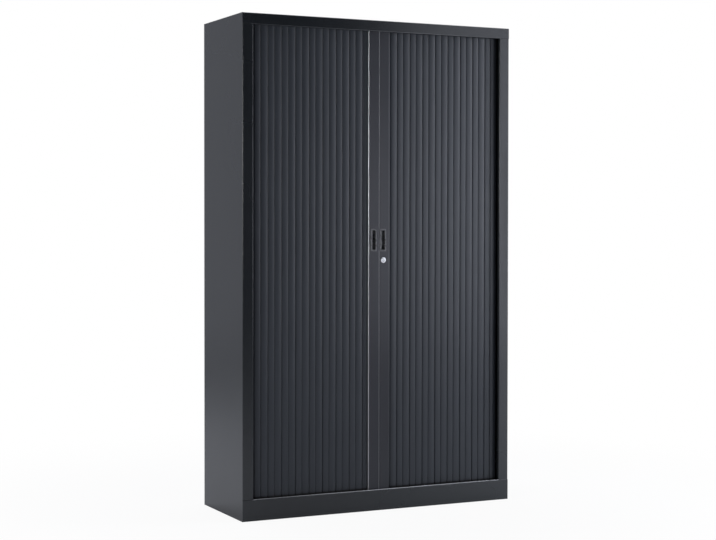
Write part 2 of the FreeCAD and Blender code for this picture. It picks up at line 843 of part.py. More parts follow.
def cup_cutter(handle_x):
    """Return the cutter for the handle cup's cut-out in the lead's front wall."""
    half_width = CUP_WIDTH / 2 + CUP_WALL + CUP_FIT
    half_length = CUP_LENGTH / 2 + CUP_WALL + CUP_FIT
    middle = HANDLE_LOW + HANDLE_LENGTH / 2
    outline = rectangle(handle_x - half_width, handle_x + half_width,
                        middle - half_length, middle + half_length)
    return frontal(loop_face(outline, CUP_CORNER), LEAD_FRONT - LEAD_WALL, LEAD_FRONT + 2 * LEAD_WALL)


def left_lead_profile():
    """Lead of the left shutter, with a slot that takes the lock hook."""
    profile = mirrored(standing(lead_section(LEFT_MEETING), LEAD_LOW, LEAD_HIGH))
    slot = hook_slot(-LEFT_MEETING - 2 * LEAD_WALL, -LEFT_MEETING + MEETING_GAP / 2)
    return profile.cut(group([cup_cutter(-LEFT_HANDLE_X), slot]))


def right_lead_profile():
    """Lead of the right shutter, drilled for the lock."""
    profile = standing(lead_section(RIGHT_MEETING), LEAD_LOW, LEAD_HIGH)
    slot = hook_slot(RIGHT_MEETING - MEETING_GAP / 2, RIGHT_MEETING + 2 * LEAD_WALL)
    lock_hole = cylinder_y(BARREL_RADIUS + BARREL_FIT, LEAD_FRONT - LEAD_WALL,
                           LEAD_FRONT + 2 * LEAD_WALL, LOCK_X, LOCK_Z)
    return profile.cut(group([cup_cutter(RIGHT_HANDLE_X), slot, lock_hole]))


def lead_glides(meeting, side):
    """Moulded plugs at both ends of a lead whose tongues run in the tracks."""
    low_x = meeting + LEAD_WALL + GLIDE_FIT
    high_x = LEAD_WEB - LEAD_WALL - GLIDE_FIT
    front = LEAD_FRONT + LEAD_WALL + GLIDE_FIT
    back = LEAD_BACK - LEAD_WALL - GLIDE_FIT
    tongue_x = max(low_x, 0) + GLIDE_INSET
    half = GROOVE_WIDTH / 2 - GLIDE_SIDE_GAP
    floor = FLOOR_LEVEL + TRACK_BASE + GLIDE_END_GAP
    roof = CEILING_LEVEL - TRACK_BASE - GLIDE_END_GAP
    glides = []
    for end, inward, tip in ((LEAD_LOW, 1, floor), (LEAD_HIGH, -1, roof)):
        depth = end + inward * GLIDE_PLUG
        plug = box(low_x, high_x, front, back, min(end, depth), max(end, depth))
        tongue_face = loop_face(rectangle(tongue_x, high_x, GROOVE_Y - half, GROOVE_Y + half), GLIDE_INSET)
        tongue = standing(tongue_face, min(end, tip), max(end, tip))
        glides.append(joined([plug, tongue]))
    return sided(group(glides), side)


# Handles and lock

def pocket(handle_x, half_width, half_length, draft, y_low, y_high, corner):
    """Loft a tapering pocket from its mouth to its smaller floor."""
    middle = HANDLE_LOW + HANDLE_LENGTH / 2
    wires = []
    for y, shrink in ((y_low, 0), (y_high, draft)):
        outline = rectangle(handle_x - half_width + shrink, handle_x + half_width - shrink,
                            middle - half_length + shrink, middle + half_length - shrink)
        wire = loop_wire(outline, [corner] * len(outline))
        wire.rotate(V(0, 0, 0), V(1, 0, 0), 90)
        wire.translate(V(0, y, 0))
        wires.append(wire)
    return Part.makeLoft(wires, True, True)


def handle(handle_x):
    """Flush pull: a flange on the lead with a drafted cup for the fingers."""
    flange_front = LEAD_FRONT - HANDLE_FLANGE
    half = HANDLE_WIDTH / 2
    flange = frontal(loop_face(rectangle(handle_x - half, handle_x + half,
                                         HANDLE_LOW, HANDLE_LOW + HANDLE_LENGTH), HANDLE_CORNER),
                     flange_front, LEAD_FRONT)
    cup = pocket(handle_x, CUP_WIDTH / 2 + CUP_WALL, CUP_LENGTH / 2 + CUP_WALL, CUP_DRAFT,
                 flange_front, flange_front + CUP_DEPTH + CUP_WALL, CUP_CORNER)
    cup_floor = flange_front + CUP_DEPTH
    hollow = pocket(handle_x, CUP_WIDTH / 2, CUP_LENGTH / 2, CUP_DRAFT,
                    flange_front, cup_floor, CUP_CORNER - CUP_WALL)
    solid = joined([flange, cup]).cut(softened(hollow, cup_floor, CUP_FLOOR_ROUND))
    return softened(solid, flange_front, HANDLE_EDGE)


def lock_housing():
    """Bezel and barrel of the cylinder lock."""
    face = LEAD_FRONT - BEZEL_PROUD
    bore = PLUG_RADIUS + PLUG_FIT
    housing = turned([
        (bore, face),
        (BEZEL_RADIUS, face),
        (BEZEL_RADIUS, LEAD_FRONT),
        (BARREL_RADIUS, LEAD_FRONT),
        (BARREL_RADIUS, LEAD_FRONT + BARREL_LENGTH),
        (bore, LEAD_FRONT + BARREL_LENGTH),
    ], [0, BEZEL_EDGE, 0, 0, 0, 0])
    housing.translate(V(LOCK_X, 0, LOCK_Z))
    return housing


def lock_plug():
    """Turning plug with its keyway and the stub that carries the hook."""
    face = LEAD_FRONT - BEZEL_PROUD + PLUG_SINK
    hook_back = HOOK_FRONT + HOOK_THICKNESS
    plug = turned([
        (0, face),
        (PLUG_RADIUS, face),
        (PLUG_RADIUS, HOOK_FRONT),
        (STUB_RADIUS, HOOK_FRONT),
        (STUB_RADIUS, hook_back),
        (STUB_HEAD, hook_back),
        (STUB_HEAD, hook_back + STUB_HEAD_HEIGHT),
        (0, hook_back + STUB_HEAD_HEIGHT),
    ])
    plug.translate(V(LOCK_X, 0, LOCK_Z))
    keyway = box(LOCK_X - KEYWAY_WIDTH / 2, LOCK_X + KEYWAY_WIDTH / 2, face - KEYWAY_DEPTH,
                 face + KEYWAY_DEPTH, LOCK_Z - KEYWAY_HEIGHT / 2, LOCK_Z + KEYWAY_HEIGHT / 2)
    return plug.cut(keyway)


def lock_hook():
    """Hook bolt that swings sideways through both leads; drawn hanging down."""
    centre = V(LOCK_X, LOCK_Z, 0)
    up = V(0, 0, 1)
    down_angle = 270.0
    nose_start = down_angle - HOOK_NOSE_ANGLE
    nose_end = down_angle + HOOK_ROOT_ANGLE
    hub = Part.Face(Part.Wire(Part.makeCircle(HOOK_HUB, centre)))
    arm_end = (HOOK_INNER + HOOK_OUTER) / 2
    arm = loop_face(rectangle(LOCK_X - HOOK_ARM, LOCK_X + HOOK_ARM, LOCK_Z - arm_end, LOCK_Z))
    outer = Part.makeCircle(HOOK_OUTER, centre, up, nose_start, nose_end)
    inner = Part.makeCircle(HOOK_INNER, centre, up, nose_start, nose_end)
    first = Part.LineSegment(outer.valueAt(outer.FirstParameter), inner.valueAt(inner.FirstParameter))
    last = Part.LineSegment(outer.valueAt(outer.LastParameter), inner.valueAt(inner.LastParameter))
    nose = Part.Face(Part.Wire(Part.__sortEdges__([outer, last.toShape(), inner, first.toShape()])))
    back = HOOK_FRONT + HOOK_THICKNESS
    solid = joined([frontal(face, HOOK_FRONT, back) for face in (hub, arm, nose)])
    return solid.cut(cylinder_y(STUB_RADIUS + STUB_FIT, HOOK_FRONT - OVERRUN, back + OVERRUN, LOCK_X, LOCK_Z))


def lock_keeper():
    """Steel plate inside the left lead that the hook's nose catches behind."""
    wall = -LEFT_MEETING - LEAD_WALL
    low = LOCK_Z - HOOK_SLOT_BELOW - KEEPER_MARGIN
    high = LOCK_Z + HOOK_SLOT_ABOVE + KEEPER_MARGIN
    plate = box(wall - KEEPER_PLATE, wall, LEAD_FRONT + LEAD_WALL, LEAD_BACK - LEAD_WALL, low, high)
    return plate.cut(hook_slot(wall - 2 * KEEPER_PLATE, wall + KEEPER_PLATE))


# Small fixed pieces

def stop_buffer(side):
    """Rubber block under the ceiling, behind the rail, that ends the lead's travel."""
    start = LEAD_OUTER + TRAVEL + BUFFER_GAP
    back = GROOVE_Y - GROOVE_WIDTH / 2 - TRACK_WALL - BUFFER_TRACK_GAP
    outline = rectangle(start, start + BUFFER_LENGTH, back - BUFFER_DEPTH, back)
    block = standing(loop_face(outline, BUFFER_NOSE), CEILING_LEVEL - BUFFER_DROP, CEILING_LEVEL)
    return sided(block, side)


def hexagon_prism(across_corners, z_low, z_high, x, y):
    """Return a six-sided prism."""
    corners = []
    for index in range(HEX_SIDES):
        angle = 2 * math.pi * index / HEX_SIDES
        corners.append((x + across_corners * math.cos(angle), y + across_corners * math.sin(angle)))
    return standing(loop_face(corners), z_low, z_high)


def foot_places():
    """Return the name and place of each levelling foot."""
    names = (("front", -1), ("back", 1))
    sides = (("left", -1), ("right", 1))
    return [(f"foot_{name}_{side_name}", side * FOOT_X, row * FOOT_Y)
            for name, row in names for side_name, side in sides]


def foot(x, y):
    """Levelling foot: a moulded pad on a threaded stem."""
    corners = [(0, 0), (PAD_RADIUS, 0), (PAD_RADIUS, PAD_EDGE), (FOOT_HEX, PAD_HEIGHT), (0, PAD_HEIGHT)]
    outline = Part.makePolygon([V(radius, 0, z) for radius, z in corners + corners[:1]])
    pad = Part.Face(outline).revolve(V(0, 0, 0), V(0, 0, 1), 360)
    pad.translate(V(x, y, 0))
    collar = hexagon_prism(FOOT_HEX, PAD_HEIGHT - PAD_EDGE, PAD_HEIGHT + FOOT_HEX_HEIGHT, x, y)
    stem = cylinder_z(STEM_RADIUS, PAD_HEIGHT, STEM_TOP, x, y)
    return joined([pad, collar, stem])


def foot_brackets():
    """Folded brackets under the floor that carry the feet."""
    outer = INNER_HALF - BRACKET_SIDE_GAP
    ceiling = FLOOR_LEVEL - SHEET
    inner = HALF_WIDTH - BRACKET_WIDTH
    section = bent_sheet([
        (inner - BRACKET_FLANGE, ceiling - BRACKET_SHEET),
        (inner, ceiling - BRACKET_SHEET),
        (inner, BRACKET_LEVEL),
        (outer, BRACKET_LEVEL),
        (outer, ceiling),
    ], BRACKET_SHEET)
    brackets = []
    for _, x, y in foot_places():
        bracket = frontal(section, y - BRACKET_LENGTH / 2, y + BRACKET_LENGTH / 2)
        hole = cylinder_z(STEM_RADIUS + STEM_GAP, 0, ceiling, FOOT_X, y)
        brackets.append(sided(bracket.cut(hole), x))
    return group(brackets)


def foot_nuts():
    """Weld nuts under the brackets."""
    nuts = []
    for _, x, y in foot_places():
        nut = hexagon_prism(NUT_ACROSS, BRACKET_LEVEL - NUT_HEIGHT, BRACKET_LEVEL, x, y)
        nuts.append(nut.cut(cylinder_z(STEM_RADIUS + STEM_GAP, 0, FLOOR_LEVEL, x, y)))
    return group(nuts)


# The whole cupboard, node by node

def all_parts():
    """Return every node's name and shape."""
    parts = {
        "left_side_panel": side_panel(-1),
        "right_side_panel": side_panel(1),
        "top_panel": top_panel(),
        "front_plinth": front_plinth(),
        "floor_panel": floor_panel(),
        "ceiling_panel": ceiling_panel(),
        "back_panel": back_panel(),
        "back_rivets": back_rivets(),
        "inner_back_panel": inner_back_panel(),
        "left_inner_panel": inner_panel(-1),
        "right_inner_panel": inner_panel(1),
        "top_stiffener": top_stiffener(),
        "floor_stiffener": floor_stiffener(),
        "left_top_track": track(-1, True),
        "right_top_track": track(1, True),
        "left_bottom_track": track(-1, False),
        "right_bottom_track": track(1, False),
        "left_stop_buffer": stop_buffer(-1),
        "right_stop_buffer": stop_buffer(1),
        "shelf_clips": shelf_clips(),
        "foot_brackets": foot_brackets(),
        "foot_nuts": foot_nuts(),
        "left_lead_profile": left_lead_profile(),
        "left_lead_glides": lead_glides(LEFT_MEETING, -1),
        "left_handle": handle(-LEFT_HANDLE_X),
        "lock_keeper": lock_keeper(),
        "right_lead_profile": right_lead_profile(),
        "right_lead_glides": lead_glides(RIGHT_MEETING, 1),
        "right_handle": handle(RIGHT_HANDLE_X),
        "lock_housing": lock_housing(),
        "lock_plug": lock_plug(),
        "lock_hook": lock_hook(),
    }
    for number in range(1, SHELF_COUNT + 1):
        parts[f"shelf_{number}"] = shelf(number)
    for name, x, y in foot_places():
        parts[name] = foot(x, y)
    for side_name, curtain in (("left", left_curtain()), ("right", right_curtain())):
        for number, piece in enumerate(curtain, 1):
            parts[f"{side_name}_slat_{number}"] = piece
    return parts


for node, shape in all_parts().items():
    shape.exportStep(f"parts/{node}.step")
    print(f"{node}: {len(shape.Solids)} solid(s), volume {shape.Volume:.0f} mm3, valid {shape.isValid()}")
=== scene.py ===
# %% [markdown]
# # A tambour door cupboard
# The real object is a tall steel cupboard. Two shutters of ribbed slats meet in the middle and slide
# sideways into the body. The steel body comes from the imported CAD model, which is the fixed frame here.
# Blender adds what the CAD leaves plain: the curtains, the domed rivets, the chrome of the lock, the
# painted highlights on some edges, and a finish with real texture on every surface.

import json
import math

import bmesh
import bpy
from mathutils import Euler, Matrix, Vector


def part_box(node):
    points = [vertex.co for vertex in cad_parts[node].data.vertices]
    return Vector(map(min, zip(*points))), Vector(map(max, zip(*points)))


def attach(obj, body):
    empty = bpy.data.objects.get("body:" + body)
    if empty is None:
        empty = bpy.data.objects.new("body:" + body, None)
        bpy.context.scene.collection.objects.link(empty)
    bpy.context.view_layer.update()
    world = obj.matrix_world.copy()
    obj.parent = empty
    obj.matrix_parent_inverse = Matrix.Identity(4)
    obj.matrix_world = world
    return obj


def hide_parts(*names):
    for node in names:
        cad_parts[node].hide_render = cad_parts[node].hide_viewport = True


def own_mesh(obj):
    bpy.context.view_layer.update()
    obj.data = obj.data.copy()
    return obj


MM = 0.001

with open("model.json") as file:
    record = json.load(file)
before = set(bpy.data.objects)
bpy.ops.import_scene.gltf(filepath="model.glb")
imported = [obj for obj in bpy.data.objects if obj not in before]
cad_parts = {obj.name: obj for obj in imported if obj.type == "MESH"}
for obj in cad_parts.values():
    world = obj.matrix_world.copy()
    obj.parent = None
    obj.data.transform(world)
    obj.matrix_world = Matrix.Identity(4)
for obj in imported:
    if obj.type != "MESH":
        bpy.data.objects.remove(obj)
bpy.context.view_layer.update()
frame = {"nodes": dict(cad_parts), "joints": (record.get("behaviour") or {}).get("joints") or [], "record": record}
nodes = frame["nodes"]
joints = {joint["name"]: joint for joint in frame["joints"]}
print("CAD nodes:", len(nodes), "joints:", len(joints))

# %% [markdown]
# ## The camera
# The photograph looks at the cupboard from chest height and from its front left, so its left side
# shows too. A camera could be moved by eye until the views agree. Here its place and its lens were
# worked out from the body's outline, which is closer than the eye gets. The sensor's width times the
# focal length in pixels, divided by the frame's width, gives the lens in millimetres. The small shift
# is there because the photograph's middle isn't quite the point that the lens looks at.

# %% Set the camera
IMAGE_WIDTH = 716
FOCAL_PIXELS = 1578.50
CAMERA_PLACE = Vector((-2.8676, -5.9149, 1.1738))
CAMERA_YAW = 0.45158
CAMERA_PITCH = 0.01982
CAMERA_ROLL = -0.00105
SHIFT_PIXELS = -18.06

camera_data = bpy.data.cameras.new("photo_camera")
camera_data.lens = camera_data.sensor_width * FOCAL_PIXELS / IMAGE_WIDTH
camera_data.shift_y = SHIFT_PIXELS / IMAGE_WIDTH
camera = bpy.data.objects.new("photo_camera", camera_data)
camera.location = CAMERA_PLACE
camera.rotation_euler = Euler((math.pi / 2 - CAMERA_PITCH, CAMERA_ROLL, -CAMERA_YAW))
bpy.context.scene.collection.objects.link(camera)
bpy.context.scene.camera = camera
bpy.context.scene.view_settings.view_transform = "Standard"
print("lens in mm:", round(camera_data.lens, 1))

# %% [markdown]
# ## Nodes written as expressions
# A finish is a tree of nodes. Adding each node by hand takes many lines, so one class wraps a tree
# and adds any node in one call, and one class wraps an output, so that 1 - mask or mask * 0.2 adds
# the Math node by itself. The same two classes serve materials and Geometry Nodes.

# %% Wrap sockets and trees
class Wire:
    """An output socket; arithmetic on it adds Math nodes to its tree."""

    def __init__(self, tree, socket):
        self.tree = tree
        self.socket = socket

    def output(self, name):
        """Return another output of the same node."""
        return Wire(self.tree, self.socket.node.outputs[name])

    def __add__(self, other):
        return self.tree.math("ADD", self, other)

    def __sub__(self, other):
        return self.tree.math("SUBTRACT", self, other)

    def __mul__(self, other):
        return self.tree.math("MULTIPLY", self, other)

    def __rsub__(self, other):
        return self.tree.math("SUBTRACT", other, self)

    __radd__ = __add__
    __rmul__ = __mul__


class Tree:
    """A node tree, with one method that adds nodes of every kind."""

    def __init__(self, node_tree):
        self.node_tree = node_tree

    def fill(self, node, sockets):
        """Link or set the input sockets of a node."""
        for key, value in sockets.items():
            if isinstance(value, Wire):
                self.node_tree.links.new(value.socket, node.inputs[key])
            else:
                node.inputs[key].default_value = value

    def add(self, kind, settings=None, sockets=None, output=0):
        """Add a node with its settings first, then its sockets, and return one of its outputs."""
        node = self.node_tree.nodes.new(kind)
        for name, value in (settings or {}).items():
            setattr(node, name, value)
        self.fill(node, sockets or {})
        return Wire(self, node.outputs[output]) if node.outputs else None

    def math(self, operation, *values):
        """Add a Math node on numbers or outputs."""
        return self.add("ShaderNodeMath", {"operation": operation}, dict(enumerate(values)))


print("helpers ready:", Wire.__name__, Tree.__name__)

# %% [markdown]
# ## The finishes
# A finish reads Object coordinates, which are metres here, so a pattern keeps its size on every
# piece. Noise stands for what makes a real surface uneven. It changes the colour by a few percent,
# the roughness a little more, and the normal through a bump far too small to model. A picture of
# the surface could be wrapped round each piece instead, but noise needs no unwrapping and has no seam.

# %% Helpers that every finish uses
NOISE_MIDDLE = 0.5


def noise(tree, place, scale, detail=2.0, stretch=(1.0, 1.0, 1.0)):
    """Return a noise value around one half; a small stretch makes long streaks along that axis."""
    moved = tree.add("ShaderNodeMapping", None, {"Vector": place, "Scale": stretch})
    return tree.add("ShaderNodeTexNoise", None, {"Vector": moved, "Scale": scale, "Detail": detail})


def blend_colour(tree, factor, dark, light):
    """Return a colour between two, by a factor."""
    return tree.add("ShaderNodeMix", {"data_type": "RGBA"}, {0: factor, 6: dark, 7: light}, output=2)


def shade(colour, share):
    """Return a colour made lighter or darker by a share."""
    return tuple(part * share for part in colour) + (1.0,)


def start_finish(name):
    """Return a new material, its tree, its shader and its Object coordinates."""
    material = bpy.data.materials.new(name)
    material.use_nodes = True
    tree = Tree(material.node_tree)
    shader = material.node_tree.nodes["Principled BSDF"]
    place = tree.add("ShaderNodeTexCoord", output="Object")
    return material, tree, shader, place


def bump(tree, height, depth):
    """Return normals bent by a height map whose full depth is given in metres."""
    return tree.add("ShaderNodeBump", None, {"Strength": 1.0, "Distance": depth, "Height": height})


print("finish helpers ready")

# %% [markdown]
# The body is bent from steel sheet and coated with baked powder. The powder melts into a satin skin
# with a fine orange peel, whose dimples are about two millimetres wide. A slow cloud of lighter and
# darker patches is left by uneven film, and dust lies on what faces up. The peel could be modelled,
# but at a twentieth of a millimetre deep only its reflections show, so a bump is enough.

# %% Powder coat for the body
PEEL_SCALE = 520.0
PEEL_DEPTH = 0.05 * MM
CLOUD_SCALE = 2.2
CLOUD_DARK = 0.88
CLOUD_LIGHT = 1.12
CLOUD_ROUGHNESS = 0.10
DUST = (0.30, 0.29, 0.27, 1.0)
DUST_SCALE = 45.0
DUST_AMOUNT = 0.25
DUST_ROUGHNESS = 0.8


def powder_coat(name, colour, roughness, skin):
    """Satin powder coat with orange peel, slow clouds and dust on its upward faces."""
    material, tree, shader, place = start_finish(name)
    cloud = noise(tree, place, CLOUD_SCALE, detail=3.0)
    peel = noise(tree, place, PEEL_SCALE)
    speck = noise(tree, place, DUST_SCALE, detail=6.0)
    facing = tree.add("ShaderNodeNewGeometry", output="Normal")
    upward = tree.add("ShaderNodeSeparateXYZ", None, {0: facing}, output="Z")
    dust = tree.math("MAXIMUM", upward, 0.0) * speck * DUST_AMOUNT
    film = blend_colour(tree, cloud, shade(colour, CLOUD_DARK), shade(colour, CLOUD_LIGHT))
    uneven = (cloud - NOISE_MIDDLE) * CLOUD_ROUGHNESS
    tree.fill(shader, {
        "Base Color": blend_colour(tree, dust, film, DUST),
        "Roughness": roughness + uneven + dust * DUST_ROUGHNESS,
        "Normal": bump(tree, peel, PEEL_DEPTH),
        "Specular IOR Level": skin,
    })
    return material


finishes = {
    "outer_paint": powder_coat("outer_powder_coat", colour=(0.0085, 0.0105, 0.0130),
                               roughness=0.26, skin=0.75),
    "inner_paint": powder_coat("inner_powder_coat", colour=(0.026, 0.029, 0.033),
                               roughness=0.36, skin=0.5),
}
print("finishes:", sorted(finishes))

# %% [markdown]
# Some lines on the cupboard are bright or black. They are painted highlights and painted shade. Such a
# line could be a thin piece of its own, laid on the surface, but a mask in the finish can't come loose
# or flicker. A mask is a number between zero and one that is worked out from the Object coordinates.

# %% Helpers that mask a line and paint a highlight of bare metal
HIGHLIGHT_METAL = (0.76, 0.77, 0.79, 1.0)


def fade(tree, value, start, end, first, last):
    """Return a smooth change from first to last, while a value goes from start to end."""
    return tree.add("ShaderNodeMapRange", {"interpolation_type": "SMOOTHSTEP"}, {
        "Value": value, "From Min": start, "From Max": end, "To Min": first, "To Max": last})


def edge_highlight(tree, across, edge, width, amount):
    """Return a mask that is amount on an edge and zero a width away from it."""
    away = tree.math("ABSOLUTE", across - edge)
    return fade(tree, away, 0.0, width, amount, 0.0)


def paint_highlight(material, mask):
    """Paint a highlight of bare metal into a finish where a mask of its tree is one."""
    tree = mask.tree
    shader = material.node_tree.nodes["Principled BSDF"]
    painted = Wire(tree, shader.inputs["Base Color"].links[0].from_socket)
    # Painted highlight: bright bare metal colour where the mask is one.
    tree.fill(shader, {"Base Color": blend_colour(tree, mask, painted, HIGHLIGHT_METAL), "Metallic": mask})


def position(tree):
    """Return the Object coordinates of a finish, split into X, Y and Z."""
    place = tree.add("ShaderNodeTexCoord", output="Object")
    return tree.add("ShaderNodeSeparateXYZ", None, {0: place})


print("mask helpers ready")

# %% [markdown]
# The photograph has a thin bright line along the top of the plinth, between the stiles. It is taken for a
# lip whose coat is rubbed through, which is a guess. It is a painted highlight: bare metal colour on the
# lip, where light from above catches its edge. An even line would look drawn with a ruler, so the mask is an
# edge line times a slow noise, and the line comes and goes.

# %% Painted highlight on the plinth's lip
LIP_WIDTH = 2.4 * MM
LIP_DEPTH = 4.0 * MM
LINE_BREAK_SCALE = 3.0
STILE_WIDTH = 45 * MM

outer_tree = Tree(finishes["outer_paint"].node_tree)
plinth_low, plinth_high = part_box("front_plinth")
spot = position(outer_tree)
from_middle = outer_tree.math("ABSOLUTE", spot.output("X"))
on_lip = edge_highlight(outer_tree, spot.output("Z"), plinth_high.z, LIP_WIDTH, amount=1.0)
in_front = outer_tree.math("LESS_THAN", spot.output("Y"), plinth_low.y + LIP_DEPTH)
between_stiles = outer_tree.math("LESS_THAN", from_middle, plinth_high.x - STILE_WIDTH)
# A painted highlight: a slow noise breaks up the bright bare metal line along the lip.
line_breaks = noise(outer_tree, outer_tree.add("ShaderNodeTexCoord", output="Object"), LINE_BREAK_SCALE)
paint_highlight(finishes["outer_paint"], on_lip * in_front * between_stiles * line_breaks)
print("scuffed line in mm:", LIP_WIDTH / MM)

# %% [markdown]
# The slats are extruded plastic, and the leads are painted extrusions. The die leaves hair-thin lines
# along the whole length, which turn a reflection into soft vertical streaks. Cut as grooves, they
# would need millions of faces. Noise stretched along Z does the same.

# %% Extruded finishes for the curtain and the leads
STREAK_SCALE = 900.0
STREAK_STRETCH = (1.0, 1.0, 0.004)
STREAK_DEPTH = 0.03 * MM
TINT_SCALE = 4.4
TINT_ROUGHNESS = 0.08


def extruded(name, colour, roughness, streak):
    """Finish of a long extrusion, with die lines along Z."""
    material, tree, shader, place = start_finish(name)
    lines = noise(tree, place, STREAK_SCALE, detail=3.0, stretch=STREAK_STRETCH)
    cloud = noise(tree, place, TINT_SCALE)
    average = (lines + cloud) * 0.5
    uneven = (cloud - NOISE_MIDDLE) * TINT_ROUGHNESS
    tree.fill(shader, {
        "Base Color": blend_colour(tree, average, shade(colour, CLOUD_DARK), shade(colour, CLOUD_LIGHT)),
        "Roughness": roughness + (lines - NOISE_MIDDLE) * streak + uneven,
        "Normal": bump(tree, lines, STREAK_DEPTH),
    })
    return material


finishes["curtain"] = extruded("slat_plastic", colour=(0.022, 0.026, 0.033), roughness=0.43, streak=0.10)
finishes["lead"] = extruded("lead_paint", colour=(0.023, 0.024, 0.030), roughness=0.34, streak=0.06)
print("finishes:", sorted(finishes))

# %% [markdown]
# Above the plinth's lip the photograph has a black gap. It is taken for shadow and for grime from the
# bottom track on the last few millimetres of the curtain, which is a guess. It is painted shade: the
# last few millimetres of the curtain are darkened where shadow falls behind the lip. A dark strip
# could stand there, but it would show when the shutter is open. So the painted shade is a mask on Z,
# blended into the curtain's colour and roughness.

# %% Painted shade at the foot of the curtain
FOOT_SHADE_TOP = 9 * MM
FOOT_SHADE = (0.002, 0.002, 0.002, 1.0)
FOOT_SHADE_ROUGHNESS = 0.5

curtain_tree = Tree(finishes["curtain"].node_tree)
curtain_shader = finishes["curtain"].node_tree.nodes["Principled BSDF"]
above_lip = position(curtain_tree).output("Z") - plinth_high.z
# Painted shade: the curtain turns black over the last few millimetres above the lip.
foot_shade = fade(curtain_tree, above_lip, 0.0, FOOT_SHADE_TOP, 1.0, 0.0)
unshaded, even = (Wire(curtain_tree, curtain_shader.inputs[name].links[0].from_socket)
               for name in ("Base Color", "Roughness"))
curtain_tree.fill(curtain_shader, {
    "Base Color": blend_colour(curtain_tree, foot_shade, unshaded, FOOT_SHADE),
    "Roughness": even + foot_shade * FOOT_SHADE_ROUGHNESS,
})
print("stain above the lip in mm:", FOOT_SHADE_TOP / MM)

# %% [markdown]
# The photograph has a thin bright line down the left lead's outer edge and a fainter one where the
# leads meet. They are taken for edges worn bare by fingers and knocks, which is a guess: they may be
# reflections. They are painted highlights: bare metal colour on the edges, where light from the left
# catches them. A lamp could draw such lines, but only in one view. A mask on Object coordinates keeps
# them in every view: it is one on an edge and falls to zero beside it.

# %% Painted highlights on the edges of the leads
EDGE_HIGHLIGHT_WIDTH = 3.2 * MM
MEETING_HIGHLIGHT_WIDTH = 2.1 * MM

lead_tree = Tree(finishes["lead"].node_tree)
lead_low, lead_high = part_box("left_lead_profile")
across = position(lead_tree).output("X")
outer_highlight = edge_highlight(lead_tree, across, lead_low.x, EDGE_HIGHLIGHT_WIDTH, amount=1.0)
meeting_highlight = edge_highlight(lead_tree, across, lead_high.x, MEETING_HIGHLIGHT_WIDTH, amount=0.8)
# Painted highlights: the two edges turn to bright bare metal.
paint_highlight(finishes["lead"], lead_tree.math("MAXIMUM", outer_highlight, meeting_highlight))
print("bare edge of the left lead in mm:", EDGE_HIGHLIGHT_WIDTH / MM)

# %% [markdown]
# Handles, tracks, glides, feet and buffers are moulded. The mould is spark-eroded, which gives the
# plastic a fine even grain. Rubber has the same grain, but is duller. Noise could give the grain, but
# its patches differ in size, and the cells of a Voronoi texture are more even.

# %% Moulded finishes
GRAIN_SCALE = 1400.0
GRAIN_DEPTH = 0.04 * MM
RUB_SCALE = 45.0
RUB_DARK = 0.85
RUB_LIGHT = 1.15
RUB_ROUGHNESS = 0.12


def moulded(name, colour, roughness, skin=0.5):
    """Moulded plastic or rubber with a fine eroded grain."""
    material, tree, shader, place = start_finish(name)
    grain = tree.add("ShaderNodeTexVoronoi", None, {"Vector": place, "Scale": GRAIN_SCALE})
    rubbed = noise(tree, place, RUB_SCALE, detail=4.0)
    tree.fill(shader, {
        "Base Color": blend_colour(tree, rubbed, shade(colour, RUB_DARK), shade(colour, RUB_LIGHT)),
        "Roughness": roughness + (rubbed - NOISE_MIDDLE) * RUB_ROUGHNESS,
        "Normal": bump(tree, grain, GRAIN_DEPTH),
        "Specular IOR Level": skin,
    })
    return material


finishes["handle"] = moulded("handle_plastic", colour=(0.042, 0.043, 0.046), roughness=0.28, skin=1.0)
finishes["guide_plastic"] = moulded("guide_plastic", colour=(0.035, 0.035, 0.037), roughness=0.50)
finishes["foot_plastic"] = moulded("foot_plastic", colour=(0.016, 0.016, 0.017), roughness=0.55)
finishes["buffer_rubber"] = moulded("buffer_rubber", colour=(0.014, 0.014, 0.014), roughness=0.80)
print("finishes:", sorted(finishes))

# %% [markdown]
# The lock is chromed and polished, with a slight haze from fingers and keys. Clips, nuts, hook, keeper
# and rivets are zinc plated steel, which has a fine pattern of paler and darker crystals. On pieces as
# small as these, bands round the cells of a Voronoi texture stand for it. Both could be plain grey
# metal, but a metal without any change looks like plastic.

# %% Metal finishes
CHROME_DARK = (0.80, 0.81, 0.82, 1.0)
CHROME_LIGHT = (0.92, 0.92, 0.93, 1.0)
CHROME_ROUGHNESS = 0.10
HAZE_SCALE = 900.0
HAZE_ROUGHNESS = 0.14
ZINC_DARK = (0.42, 0.43, 0.44, 1.0)
ZINC_LIGHT = (0.60, 0.60, 0.61, 1.0)
ZINC_ROUGHNESS = 0.32
CRYSTAL_SCALE = 260.0
CRYSTAL_BANDS = 7.0
CRYSTAL_ROUGHNESS = 0.15


def chrome(name):
    """Polished chrome with a slight haze where fingers and keys touch it."""
    material, tree, shader, place = start_finish(name)
    haze = noise(tree, place, HAZE_SCALE, detail=4.0)
    tree.fill(shader, {
        "Base Color": blend_colour(tree, haze, CHROME_DARK, CHROME_LIGHT),
        "Metallic": 1.0,
        "Roughness": CHROME_ROUGHNESS + haze * HAZE_ROUGHNESS,
    })
    return material


def zinc(name):
    """Zinc plating with fine bands of slightly different brightness."""
    material, tree, shader, place = start_finish(name)
    crystals = tree.add("ShaderNodeTexVoronoi", None, {"Vector": place, "Scale": CRYSTAL_SCALE})
    level = tree.math("FRACT", crystals * CRYSTAL_BANDS)
    tree.fill(shader, {
        "Base Color": blend_colour(tree, level, ZINC_DARK, ZINC_LIGHT),
        "Metallic": 1.0,
        "Roughness": ZINC_ROUGHNESS + level * CRYSTAL_ROUGHNESS,
    })
    return material


finishes["lock_chrome"] = chrome("lock_chrome_plate")
finishes["zinc_steel"] = zinc("zinc_plate")
print("finishes:", sorted(finishes))

